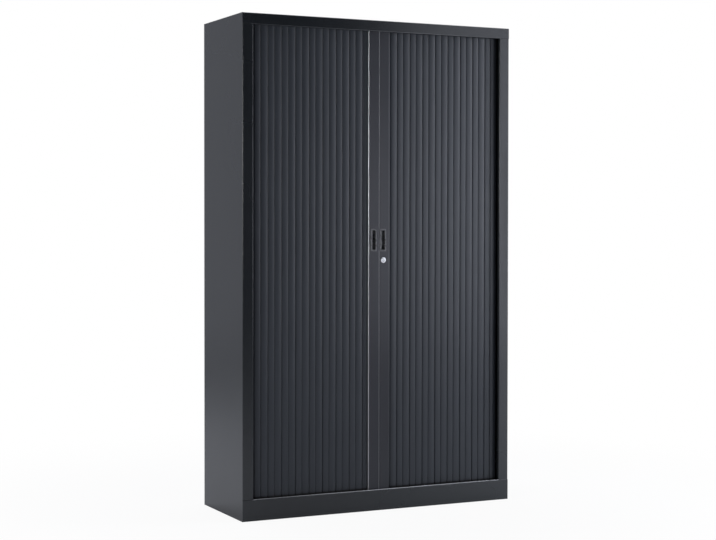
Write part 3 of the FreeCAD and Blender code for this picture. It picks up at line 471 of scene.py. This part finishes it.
# %% [markdown]
# The CAD model gives each node a material slot, such as outer_paint. The nodes could be painted one
# by one, but a loop over the frame's list forgets none.

# %% Paint every CAD node with the finish of its slot
for part in frame["record"]["subparts"]:
    for material_slot in nodes[part["node"]].material_slots:
        material_slot.material = finishes[part["material_slot"]]

# %% [markdown]
# ## The curtains
# A tambour curtain is a chain of slats. Each slat carries two arched ribs with a thin hinge line
# between them, a bead along one edge and a claw along the other, and the claw of one slat grips the
# bead of the next. So the section repeats every half slat, in turn with the bead and with the claw.
# Both halves are drawn once, as closed outlines, and Geometry Nodes stand one on each pivot of the
# route, turned towards the next pivot. That follows the rounded corner of the track by itself.

# %% Sizes of a slat's section
SLAT_PITCH = 59 * MM
HALF_PITCH = SLAT_PITCH / 2
CREST = 7.0 * MM
WIDE_RISE = 1.4 * MM
NARROW_RISE = 0.9 * MM
RIB_WALL = 1.5 * MM
WEB_HALF = 0.6 * MM
CLAW_OUTER = 3.5 * MM
CLAW_INNER = 2.2 * MM
BEAD = 1.8 * MM
CLAW_OPENS = math.radians(70)
CLAW_ENDS = math.radians(335)
BEAD_LEG = 5.5 * MM
CLAW_LEG = 2.5 * MM
HINGE_LEG = 2.5 * MM
JOINT_COVER = 1.0 * MM
JOINT_GROOVE = 2.4 * MM
HINGE_GROOVE = 1.5 * MM
EDGE_SOFTNESS = 0.9 * MM
ARCH_STEPS = 14
ROUND_STEPS = 12
SOFT_STEPS = 4
print("slat pitch in mm:", SLAT_PITCH / MM)

# %% [markdown]
# A rib's front is a flat arc, and its edges are rounded off where it falls into the groove. A Bevel
# modifier could round them, but it would round the claw too, so the outline itself has the soft
# corners. Arcs come from a formula, which needs only two angles and a count of steps.

# %% Draw round stretches of an outline
def round_points(centre, radius, start, end):
    """Return points on a circle between two angles."""
    angles = [start + (end - start) * step / ROUND_STEPS for step in range(ROUND_STEPS + 1)]
    return [(centre + radius * math.cos(angle), radius * math.sin(angle)) for angle in angles]


def arch_points(low, high, crest, rise):
    """Return points on a flat arc whose crest lies in front of the pivot line, from low to high."""
    half = (high - low) / 2
    radius = (half * half + rise * rise) / (2 * rise)
    spread = math.asin(half / radius)
    middle = (low + high) / 2
    angles = [spread * (2 * step / ARCH_STEPS - 1) for step in range(ARCH_STEPS + 1)]
    return [(middle + radius * math.sin(angle), radius - crest - radius * math.cos(angle))
            for angle in angles]


def softened(before, corner, after):
    """Return a rounded corner between two points, as a short parabola."""
    points = []
    for step in range(SOFT_STEPS + 1):
        t = step / SOFT_STEPS
        weights = ((1 - t) ** 2, 2 * t * (1 - t), t * t)
        points.append(tuple(sum(w * p[axis] for w, p in zip(weights, (before, corner, after)))
                            for axis in range(2)))
    return points


def cover_front(low, high, rise):
    """Return the front of a rib's cover, from its high edge over the crest to its low edge."""
    arch = arch_points(low, high, CREST, rise)
    soft_edge = rise - CREST + EDGE_SOFTNESS
    right = softened((high, soft_edge), arch[-1], arch[-2])
    left = softened(arch[1], arch[0], (low, soft_edge))
    return right + arch[-3:1:-1] + left


def rib_inside(leg_low, leg_high, rise):
    """Return the hollow behind a rib, from its low leg to its high leg."""
    arch = arch_points(leg_low + RIB_WALL, leg_high - RIB_WALL, CREST - RIB_WALL, rise / 2)
    return [(leg_low + RIB_WALL, WEB_HALF)] + arch + [(leg_high - RIB_WALL, WEB_HALF)]


print("arch points:", len(arch_points(0, HALF_PITCH, CREST, WIDE_RISE)))

# %% [markdown]
# A slat is one piece, but it bends at its hinge line. A whole slat could be stood on each joint, but
# it would stay straight on the corner. So one half reaches from the bead over the narrow rib to the
# hinge line, and the other from the hinge line over the wide rib to the claw.

# %% Draw the two half slats
def bead_half():
    """Return the outline from the bead over the narrow rib to the hinge line."""
    neck = math.asin(WEB_HALF / BEAD)
    leg_end = HALF_PITCH - HINGE_LEG
    cover_end = HALF_PITCH - HINGE_GROOVE / 2
    cover_start = JOINT_COVER + JOINT_GROOVE
    under = NARROW_RISE - CREST + RIB_WALL
    bead = round_points(0, BEAD, 2 * math.pi - neck, neck)
    hinge = round_points(HALF_PITCH, WEB_HALF, math.pi / 2, -math.pi / 2)
    right_lip = [(leg_end, -WEB_HALF), (leg_end, under), (cover_end, under)]
    left_lip = [(cover_start, under), (BEAD_LEG, under), (BEAD_LEG, -WEB_HALF)]
    return (bead + rib_inside(BEAD_LEG, leg_end, NARROW_RISE) + hinge + right_lip
            + cover_front(cover_start, cover_end, NARROW_RISE) + left_lip)


def claw_half():
    """Return the outline from the hinge line over the wide rib to the claw."""
    cover_start = HINGE_GROOVE / 2
    cover_end = HALF_PITCH + JOINT_COVER
    under = WIDE_RISE - CREST + RIB_WALL
    meets_foot = math.pi - math.asin(WEB_HALF / CLAW_OUTER)
    meets_cover = 2 * math.pi - math.acos(JOINT_COVER / CLAW_OUTER)
    back = round_points(HALF_PITCH, CLAW_OUTER, meets_foot, CLAW_OPENS)
    inside = round_points(HALF_PITCH, CLAW_INNER, CLAW_OPENS, CLAW_ENDS)
    front = round_points(HALF_PITCH, CLAW_OUTER, CLAW_ENDS, meets_cover)
    left_lip = [(cover_start, under), (HINGE_LEG, under), (HINGE_LEG, -WEB_HALF), (0, -WEB_HALF)]
    hollow = rib_inside(HINGE_LEG, HALF_PITCH - CLAW_LEG, WIDE_RISE)
    return ([(0, WEB_HALF)] + hollow + back + inside + front
            + cover_front(cover_start, cover_end, WIDE_RISE) + left_lip)


def flat_piece(name, outline):
    """Return an object whose mesh is one face inside an outline, looking up."""
    mesh = bpy.data.meshes.new(name)
    mesh.from_pydata([(x, y, 0) for x, y in outline], [], [range(len(outline))])
    if mesh.polygons[0].normal.z < 0:
        mesh.flip_normals()
    piece = bpy.data.objects.new(name, mesh)
    bpy.context.scene.collection.objects.link(piece)
    return piece


bead_section = flat_piece("bead_section", bead_half())
claw_section = flat_piece("claw_section", claw_half())
print("section corners:", len(bead_half()), len(claw_half()))

# %% [markdown]
# The pivots start at the joint between the first and the second slat, which the frame gives, and
# step half a slat at a time along the track: straight behind the front, then round the corner. They
# could be spaced along the track itself, but on the corner the way along the arc is longer than the
# stiff half slat. So each next pivot is searched for at half a slat in a straight line.

# %% Find the pivots of a curtain
TRACK_EDGE = 8.5 * MM
TRACK_SETBACK = 1.75 * MM
TURN_RADIUS = 40 * MM
SEARCH_STEPS = 40

track_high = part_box("right_top_track")[1]
slat_low, slat_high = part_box("right_slat_3")
pivot_line = slat_low.y + CREST
side_line = track_high.x - TRACK_EDGE
turn_start = side_line - TURN_RADIUS
pivot_radius = TURN_RADIUS - TRACK_SETBACK


def route_point(distance):
    """Return the place on the pivot line at a distance from the cupboard's middle."""
    turn = max(0.0, (distance - turn_start) / pivot_radius)
    straight = min(distance, turn_start)
    return Vector((straight + pivot_radius * math.sin(turn),
                   pivot_line + pivot_radius * (1 - math.cos(turn)), 0))


def next_pivot(distance):
    """Return the distance at which the next pivot lies half a slat away in a straight line."""
    low = distance + HALF_PITCH
    high = distance + SLAT_PITCH
    for _ in range(SEARCH_STEPS):
        middle = (low + high) / 2
        near = (route_point(middle) - route_point(distance)).length < HALF_PITCH
        low, high = (middle, high) if near else (low, middle)
    return low


def pivots_from(first_joint):
    """Return the pivots from the slat behind the lead to the tail of the curtain."""
    distances = [first_joint - SLAT_PITCH, first_joint - HALF_PITCH, first_joint]
    while distances[-1] < turn_start or len(distances) % 2 == 0:
        distances.append(next_pivot(distances[-1]))
    return [route_point(distance) for distance in distances]


right_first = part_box("right_slat_2")[0].x + BEAD
left_first = -(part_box("left_slat_2")[1].x - CLAW_OUTER * math.cos(CLAW_ENDS))
right_pivots = pivots_from(right_first)
left_pivots = [Vector((-point.x, point.y, 0)) for point in reversed(pivots_from(left_first))]
print("slats:", len(left_pivots) // 2, "left,", len(right_pivots) // 2, "right")

# %% [markdown]
# Slats could be copied and turned by a Python loop. A node tree does it with a few nodes that can be
# watched at work. It puts the bead half on every even pivot and the claw half on every odd one, turned
# towards the next pivot, and pulls each flat half up to the slat's height.

# %% Build the Geometry Nodes that stand half slats on the pivots
SEAM_GAP = 0.001 * MM


def curtain_nodes():
    """Return a node group that turns a chain of pivots into a curtain of slats."""
    group = bpy.data.node_groups.new("curtain", "GeometryNodeTree")
    sockets = {}
    for name, kind in (("Pivots", "NodeSocketGeometry"), ("Bead half", "NodeSocketObject"),
                       ("Claw half", "NodeSocketObject"), ("Bottom", "NodeSocketFloat"),
                       ("Height", "NodeSocketFloat"), ("Finish", "NodeSocketMaterial")):
        sockets[name] = group.interface.new_socket(name, in_out="INPUT", socket_type=kind).identifier
    group.interface.new_socket("Curtain", in_out="OUTPUT", socket_type="NodeSocketGeometry")
    tree = Tree(group)
    given = tree.add("NodeGroupInput")
    place = tree.add("GeometryNodeInputPosition")
    index = tree.add("GeometryNodeInputIndex")
    following = tree.add("GeometryNodeFieldAtIndex", {"data_type": "FLOAT_VECTOR", "domain": "POINT"},
                         {"Index": index + 1, "Value": place})
    chord = tree.add("ShaderNodeVectorMath", {"operation": "SUBTRACT"}, {0: following, 1: place})
    turn = tree.add("FunctionNodeAlignRotationToVector", {"axis": "X", "pivot_axis": "Z"},
                    {"Vector": chord})
    count = tree.add("GeometryNodeAttributeDomainSize", None, {"Geometry": given}, output="Point Count")
    is_start = tree.math("LESS_THAN", index, count - 1)
    is_claw = tree.math("MODULO", index, 2.0)
    drop = tree.add("ShaderNodeCombineXYZ", None, {"Z": given.output("Bottom")})
    rise = tree.add("ShaderNodeCombineXYZ", None, {"Z": given.output("Height")})
    halves = []
    for name, wanted in (("Bead half", 1 - is_claw), ("Claw half", is_claw)):
        flat = tree.add("GeometryNodeObjectInfo", None, {"Object": given.output(name)},
                        output="Geometry")
        lifted = tree.add("GeometryNodeTransform", None, {"Geometry": flat, "Translation": drop})
        tall = tree.add("GeometryNodeExtrudeMesh", {"mode": "FACES"},
                        {"Mesh": lifted, "Offset": rise, "Offset Scale": 1.0, "Individual": False})
        underside = tree.add("GeometryNodeFlipFaces", None, {"Mesh": lifted})
        joined = tree.add("GeometryNodeJoinGeometry", None, {"Geometry": tall})
        tree.fill(joined.socket.node, {"Geometry": underside})
        closed = tree.add("GeometryNodeMergeByDistance", None,
                          {"Geometry": joined, "Distance": SEAM_GAP})
        halves.append(tree.add("GeometryNodeInstanceOnPoints", None, {
            "Points": given, "Selection": is_start * wanted, "Instance": closed, "Rotation": turn}))
    chain = tree.add("GeometryNodeJoinGeometry", None, {"Geometry": halves[0]})
    tree.fill(chain.socket.node, {"Geometry": halves[1]})
    real = tree.add("GeometryNodeRealizeInstances", None, {"Geometry": chain})
    painted = tree.add("GeometryNodeSetMaterial", None,
                       {"Geometry": real, "Material": given.output("Finish")})
    tree.add("NodeGroupOutput", None, {0: painted})
    return group, sockets


curtain_group, curtain_sockets = curtain_nodes()
print("inputs:", sorted(curtain_sockets))

# %% [markdown]
# The chain of pivots is a mesh without faces. The modifier turns it into slats, and the result is
# then kept as a plain mesh. The modifier could stay live, but a plain mesh is what the later tools and
# the export read.

# %% Make the curtains
SHARP_ANGLE = math.radians(32)


def plain_mesh(source, name):
    """Return a plain object with the evaluated mesh of another, which is then removed."""
    depsgraph = bpy.context.evaluated_depsgraph_get()
    mesh = bpy.data.meshes.new_from_object(source.evaluated_get(depsgraph))
    mesh.name = name
    bpy.data.objects.remove(source)
    piece = bpy.data.objects.new(name, mesh)
    bpy.context.scene.collection.objects.link(piece)
    mesh.shade_smooth()
    mesh.set_sharp_from_angle(angle=SHARP_ANGLE)
    return piece


def curtain(side, pivots):
    """Return one curtain, hung behind its lead and running to its corner."""
    chain = bpy.data.meshes.new("pivots")
    chain.from_pydata(pivots, [(place, place + 1) for place in range(len(pivots) - 1)], [])
    source = bpy.data.objects.new("pivots", chain)
    bpy.context.scene.collection.objects.link(source)
    modifier = source.modifiers.new("curtain", "NODES")
    modifier.node_group = curtain_group
    modifier[curtain_sockets["Bead half"]] = bead_section
    modifier[curtain_sockets["Claw half"]] = claw_section
    modifier[curtain_sockets["Bottom"]] = slat_low.z
    modifier[curtain_sockets["Height"]] = slat_high.z - slat_low.z
    modifier[curtain_sockets["Finish"]] = finishes["curtain"]
    piece = plain_mesh(source, side + "_curtain")
    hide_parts(*[name for name in nodes if name.startswith(side + "_slat_")])
    return piece


curtains = {"left": curtain("left", left_pivots), "right": curtain("right", right_pivots)}
for section in (bead_section, claw_section):
    bpy.data.objects.remove(section)
print("faces per curtain:", {side: len(piece.data.polygons) for side, piece in curtains.items()})

# %% [markdown]
# The first slat hooks into its lead, so what would reach through the lead is cut off. As a shutter
# opens, its slats go round the corner one after another. A chain of bones could show that, but each
# slat would need its own moment to turn, which a joint's single ratio can't give. So for each side the
# share is worked out to which the curtain would gather towards its corner as its lead moves, just far
# enough to stay clear of the lead's back.

# %% Trim the first slat behind its lead and work out how far the curtain would gather
SLAT_TRIM = 43 * MM
LEAD_CLEARANCE = 0.5 * MM


def trim(piece, sign):
    """Cut off what reaches past the trim line, towards the cupboard's middle, and close the cut."""
    shape = bmesh.new()
    shape.from_mesh(piece.data)
    everything = shape.verts[:] + shape.edges[:] + shape.faces[:]
    cut = bmesh.ops.bisect_plane(shape, geom=everything, plane_co=(sign * SLAT_TRIM, 0, 0),
                                 plane_no=(-sign, 0, 0), clear_outer=True)
    edges = [part for part in cut["geom_cut"] if isinstance(part, bmesh.types.BMEdge)]
    bmesh.ops.triangle_fill(shape, edges=edges, use_beauty=True)
    bmesh.ops.recalc_face_normals(shape, faces=shape.faces[:])
    shape.to_mesh(piece.data)
    shape.free()
    piece.data.set_sharp_from_angle(angle=SHARP_ANGLE)


for side, sign in (("left", -1), ("right", 1)):
    trim(curtains[side], sign)
    joint = side + "_shutter_slide"
    travel = joints[joint]["range_m"][1]
    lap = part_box("right_lead_profile")[1].x + LEAD_CLEARANCE - SLAT_TRIM
    keep = 1 - (travel + lap) / (side_line - SLAT_TRIM)
    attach(curtains[side], "cupboard")
    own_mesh(curtains[side])
    print(side, "curtain gathers to", round(keep, 3))

# %% [markdown]
# ## The rivets
# Ten blind rivets hold the back panel. A blind rivet has a domed head with a small hole left by its
# pulled pin. A half ball could stand for it, but it would lack the hole, so one head is drawn as a
# profile and swept round its axis.

# %% Draw one rivet head
RIVET_HEAD = 3.2 * MM
RIVET_RISE = 1.0 * MM
RIVET_HOLE = 0.9 * MM
RIVET_TAIL = 1.2 * MM
PIN_RADIUS = RIVET_HOLE * 0.9
PIN_EDGE = RIVET_RISE * 0.4
PIN_TOP = RIVET_RISE * 0.5
DOME_STEPS = 8
LATHE_STEPS = 28


def rivet_profile():
    """Return (radius, height) points from the buried tail over the dome into the pin's hole."""
    dome = [(RIVET_HEAD * math.cos(turn), RIVET_RISE * math.sin(turn))
            for turn in (math.pi / 2 * step / DOME_STEPS for step in range(DOME_STEPS))]
    rim = [point for point in dome if point[0] > RIVET_HOLE]
    return [(0, -RIVET_TAIL), (RIVET_HEAD / 2, -RIVET_TAIL), (RIVET_HEAD / 2, 0)] + rim + [
        (RIVET_HOLE, RIVET_RISE), (PIN_RADIUS, PIN_EDGE), (0, PIN_TOP)]


def lathe(name, profile):
    """Turn a profile about the Y axis; its first and last points lie on the axis."""
    turns = [2 * math.pi * step / LATHE_STEPS for step in range(LATHE_STEPS)]
    inner = profile[1:-1]
    points = [(0, profile[0][1], 0), (0, profile[-1][1], 0)]
    points += [(radius * math.cos(turn), height, radius * math.sin(turn)) for radius, height in inner
               for turn in turns]
    faces = []
    for place in range(LATHE_STEPS):
        beside = (place + 1) % LATHE_STEPS
        faces.append((0, 2 + place, 2 + beside))
        for ring in range(len(inner) - 1):
            low, high = 2 + ring * LATHE_STEPS, 2 + (ring + 1) * LATHE_STEPS
            faces.append((low + place, high + place, high + beside, low + beside))
        last = 2 + (len(inner) - 1) * LATHE_STEPS
        faces.append((1, last + beside, last + place))
    mesh = bpy.data.meshes.new(name)
    mesh.from_pydata(points, [], faces)
    shape = bmesh.new()
    shape.from_mesh(mesh)
    bmesh.ops.recalc_face_normals(shape, faces=shape.faces[:])
    shape.to_mesh(mesh)
    shape.free()
    piece = bpy.data.objects.new(name, mesh)
    bpy.context.scene.collection.objects.link(piece)
    return piece


rivet_head = lathe("rivet_head", rivet_profile())
print("faces per rivet:", len(rivet_head.data.polygons))

# %% [markdown]
# Ten heads could be copied by a loop, but the nodes also turn each one by chance, as no two rivets are
# set alike. The seed is fixed, so that every run gives the same turns.

# %% Build the Geometry Nodes that stand heads on points
def rivet_nodes():
    """Return a node group that stands one head on every point, each turned by chance."""
    group = bpy.data.node_groups.new("rivets", "GeometryNodeTree")
    sockets = {}
    for name, kind in (("Places", "NodeSocketGeometry"), ("Head", "NodeSocketObject"),
                       ("Seed", "NodeSocketInt"), ("Finish", "NodeSocketMaterial")):
        sockets[name] = group.interface.new_socket(name, in_out="INPUT", socket_type=kind).identifier
    group.interface.new_socket("Rivets", in_out="OUTPUT", socket_type="NodeSocketGeometry")
    tree = Tree(group)
    given = tree.add("NodeGroupInput")
    head = tree.add("GeometryNodeObjectInfo", None, {"Object": given.output("Head")},
                    output="Geometry")
    chance = tree.add("FunctionNodeRandomValue", {"data_type": "FLOAT"},
                      {2: 0.0, 3: 2 * math.pi, "Seed": given.output("Seed")}, output=1)
    turn = tree.add("ShaderNodeCombineXYZ", None, {"Y": chance})
    stood = tree.add("GeometryNodeInstanceOnPoints", None,
                     {"Points": given, "Instance": head, "Rotation": turn})
    real = tree.add("GeometryNodeRealizeInstances", None, {"Geometry": stood})
    painted = tree.add("GeometryNodeSetMaterial", None,
                       {"Geometry": real, "Material": given.output("Finish")})
    tree.add("NodeGroupOutput", None, {0: painted})
    return group, sockets


rivet_group, rivet_sockets = rivet_nodes()
print("inputs:", sorted(rivet_sockets))

# %% [markdown]
# The CAD model has the rivets in one node. Their places could be typed in, but the heads should follow
# when the CAD changes. So the node's mesh is split into its islands, one for each rivet.

# %% Find the places of the rivets
WELD = 0.01 * MM


def rivet_places():
    """Return the middle of each rivet of the CAD node, at the back panel's face."""
    shape = bmesh.new()
    shape.from_mesh(nodes["back_rivets"].data)
    bmesh.ops.remove_doubles(shape, verts=shape.verts[:], dist=WELD)
    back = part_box("back_panel")[1].y
    places = []
    waiting = set(shape.verts)
    while waiting:
        island = [waiting.pop()]
        for point in island:
            for beside in (edge.other_vert(point) for edge in point.link_edges):
                if beside in waiting:
                    waiting.remove(beside)
                    island.append(beside)
        across = [point.co.x for point in island]
        upward = [point.co.z for point in island]
        places.append(((min(across) + max(across)) / 2, back, (min(upward) + max(upward)) / 2))
    shape.free()
    return sorted(places)


places = rivet_places()
print("rivet places:", len(places))

# %% [markdown]
# The places become the points of a mesh without edges, and the modifier stands a head on each. Ten
# objects would look the same, but one mesh is enough, because all the rivets sit on the same body.

# %% Stand the rivets on the back panel
TURN_SEED = 7

rivet_points = bpy.data.meshes.new("rivet_places")
rivet_points.from_pydata(places, [], [])
source = bpy.data.objects.new("rivet_places", rivet_points)
bpy.context.scene.collection.objects.link(source)
modifier = source.modifiers.new("rivets", "NODES")
modifier.node_group = rivet_group
modifier[rivet_sockets["Head"]] = rivet_head
modifier[rivet_sockets["Seed"]] = TURN_SEED
modifier[rivet_sockets["Finish"]] = finishes["zinc_steel"]
rivets = plain_mesh(source, "domed_rivets")
bpy.data.objects.remove(rivet_head)
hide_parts("back_rivets")
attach(rivets, "cupboard")
print("faces of all rivets:", len(rivets.data.polygons))

# %% [markdown]
# ## The floor
# The cupboard stands on a pale floor, which is white to the camera but for a faint shadow near the
# cupboard. It could be white in reflections too, but they would turn the dark steel light grey. So a
# reflection sees the floor as bright as the lamps make it, with a painted glow near the cupboard's
# right foot: light that the floor gives off, though it is no lamp.

# %% Lay the floor
FLOOR_SIZE = 14.0
FLOOR_COLOUR = (0.80, 0.80, 0.80, 1.0)
FLOOR_SHOWN = 0.93
GLOW_TINT = (0.72, 0.94, 1.0, 1.0)
SHADOW_START = 0.8
SHADOW_END = 2.6
GLOW = 0.11
GLOW_CENTRE = (0.9, -0.5, 0.0)
GLOW_START = 0.3
GLOW_END = 1.2


def pale_floor():
    """Lay a large plane, white to the camera but for the shadow, with a painted glow in reflections."""
    material = bpy.data.materials.new("studio_floor")
    material.use_nodes = True
    tree = Tree(material.node_tree)
    seen = tree.add("ShaderNodeLightPath", output="Is Camera Ray")
    mirrored = seen.output("Is Glossy Ray")
    place = tree.add("ShaderNodeTexCoord", output="Object")
    from_glow = tree.add("ShaderNodeVectorMath", {"operation": "DISTANCE"},
                         {0: place, 1: GLOW_CENTRE}, output="Value")
    from_foot = tree.add("ShaderNodeVectorMath", {"operation": "LENGTH"}, {0: place}, output="Value")
    glow = fade(tree, from_glow, GLOW_START, GLOW_END, GLOW, 0.0)
    whiteness = fade(tree, from_foot, SHADOW_START, SHADOW_END, FLOOR_SHOWN, 1.0)
    diffuse = tree.add("ShaderNodeBsdfDiffuse", None, {"Color": FLOOR_COLOUR})
    white = tree.add("ShaderNodeEmission", None, {"Strength": 1.0})
    glow_emission = tree.add("ShaderNodeEmission", None, {"Color": GLOW_TINT, "Strength": 1.0})
    # Painted glow: near the right foot the floor gives off tinted light in reflections only.
    mirror_glow = tree.add("ShaderNodeMixShader", None, {0: mirrored * glow, 2: glow_emission})
    shown = tree.add("ShaderNodeMixShader", None, {0: seen * whiteness, 1: diffuse, 2: white})
    both = tree.add("ShaderNodeAddShader", None, {0: shown, 1: mirror_glow})
    tree.fill(material.node_tree.nodes["Material Output"], {"Surface": both})
    mesh = bpy.data.meshes.new("floor")
    half = FLOOR_SIZE / 2
    corners = [(-half, -half, 0), (half, -half, 0), (half, half, 0), (-half, half, 0)]
    mesh.from_pydata(corners, [], [range(len(corners))])
    mesh.materials.append(material)
    floor = bpy.data.objects.new("floor", mesh)
    bpy.context.scene.collection.objects.link(floor)


pale_floor()
print("floor size in m:", FLOOR_SIZE)

# %% [markdown]
# ## The light
# One large lamp could light the cupboard, but its front goes from dark at the left to light at the
# right. So a bank of soft panels stands at the front right, where the satin steel mirrors it. A panel
# at the left draws the thin bright lines down the corner and the lead, one above finds the plinth's
# lip, and one behind lights the top and the back. All but the left panel are slightly cool. The
# backdrop is white to the camera. In reflections it is black in front of the cupboard and grey behind.

# %% Light the studio
LIGHT_TINT = (0.87, 0.90, 1.0)
WHITE = (1.0, 1.0, 1.0)
HORIZON_BLEND = 0.5
BANK_DISTANCE = 2.3
BANK_WIDTH = 0.45

# The azimuth in degrees, the height and the length of each panel in metres, and its power in watts
BANK = (
    (33, 1.10, 1.0, 6.0), (33, 2.05, 0.9, 1.5),
    (44, 0.35, 0.7, 1.2), (44, 2.05, 0.9, 1.6),
    (58, 1.10, 1.0, 11.6), (58, 2.05, 0.9, 10.6),
)


def studio_world(front, back):
    """Light the room dimly from the front and brightly from behind, white to the camera."""
    world = bpy.data.worlds.new("studio")
    bpy.context.scene.world = world
    world.use_nodes = True
    tree = Tree(world.node_tree)
    seen = tree.add("ShaderNodeLightPath", output="Is Camera Ray")
    direction = tree.add("ShaderNodeTexCoord", output="Generated")
    depth = tree.add("ShaderNodeSeparateXYZ", None, {0: direction}, output="Y")
    dim = fade(tree, depth, -HORIZON_BLEND, HORIZON_BLEND, front, back)
    level = tree.math("MAXIMUM", dim, seen)
    tint = blend_colour(tree, seen, LIGHT_TINT + (1.0,), WHITE + (1.0,))
    tree.fill(world.node_tree.nodes["Background"], {"Color": tint, "Strength": level})


def softbox(name, place, target, width, height, power, tint=LIGHT_TINT):
    """Hang an area light that looks at a point."""
    data = bpy.data.lights.new(name, "AREA")
    data.shape = "RECTANGLE"
    data.size = width
    data.size_y = height
    data.energy = power
    data.color = tint
    lamp = bpy.data.objects.new(name, data)
    lamp.location = place
    lamp.rotation_euler = (Vector(target) - Vector(place)).to_track_quat("-Z", "Y").to_euler()
    bpy.context.scene.collection.objects.link(lamp)


def round_cupboard(azimuth, distance, height):
    """Return a place round the cupboard; the azimuth turns from its front towards its right."""
    turn = math.radians(azimuth)
    return (distance * math.sin(turn), -distance * math.cos(turn), height)


studio_world(front=0.0, back=0.43)
for number, (azimuth, height, tall, power) in enumerate(BANK, start=1):
    place = round_cupboard(azimuth, BANK_DISTANCE, height)
    softbox(f"bank_{number}", place, (0, 0, height), BANK_WIDTH, tall, power)
softbox("left_panel", round_cupboard(azimuth=-60, distance=4.5, height=1.6), target=(0, 0, 1.3),
        width=1.6, height=0.9, power=70, tint=WHITE)
softbox("front_top_softbox", place=(1.55, -1.0, 3.8), target=(0, -0.2, 0.5),
        width=1.5, height=1.6, power=32)
softbox("back_softbox", place=(-0.5, 1.8, 4.0), target=(-0.5, 1.2, 0),
        width=3.0, height=3.0, power=92)
print("lamps:", sorted(lamp.name for lamp in bpy.data.lights))
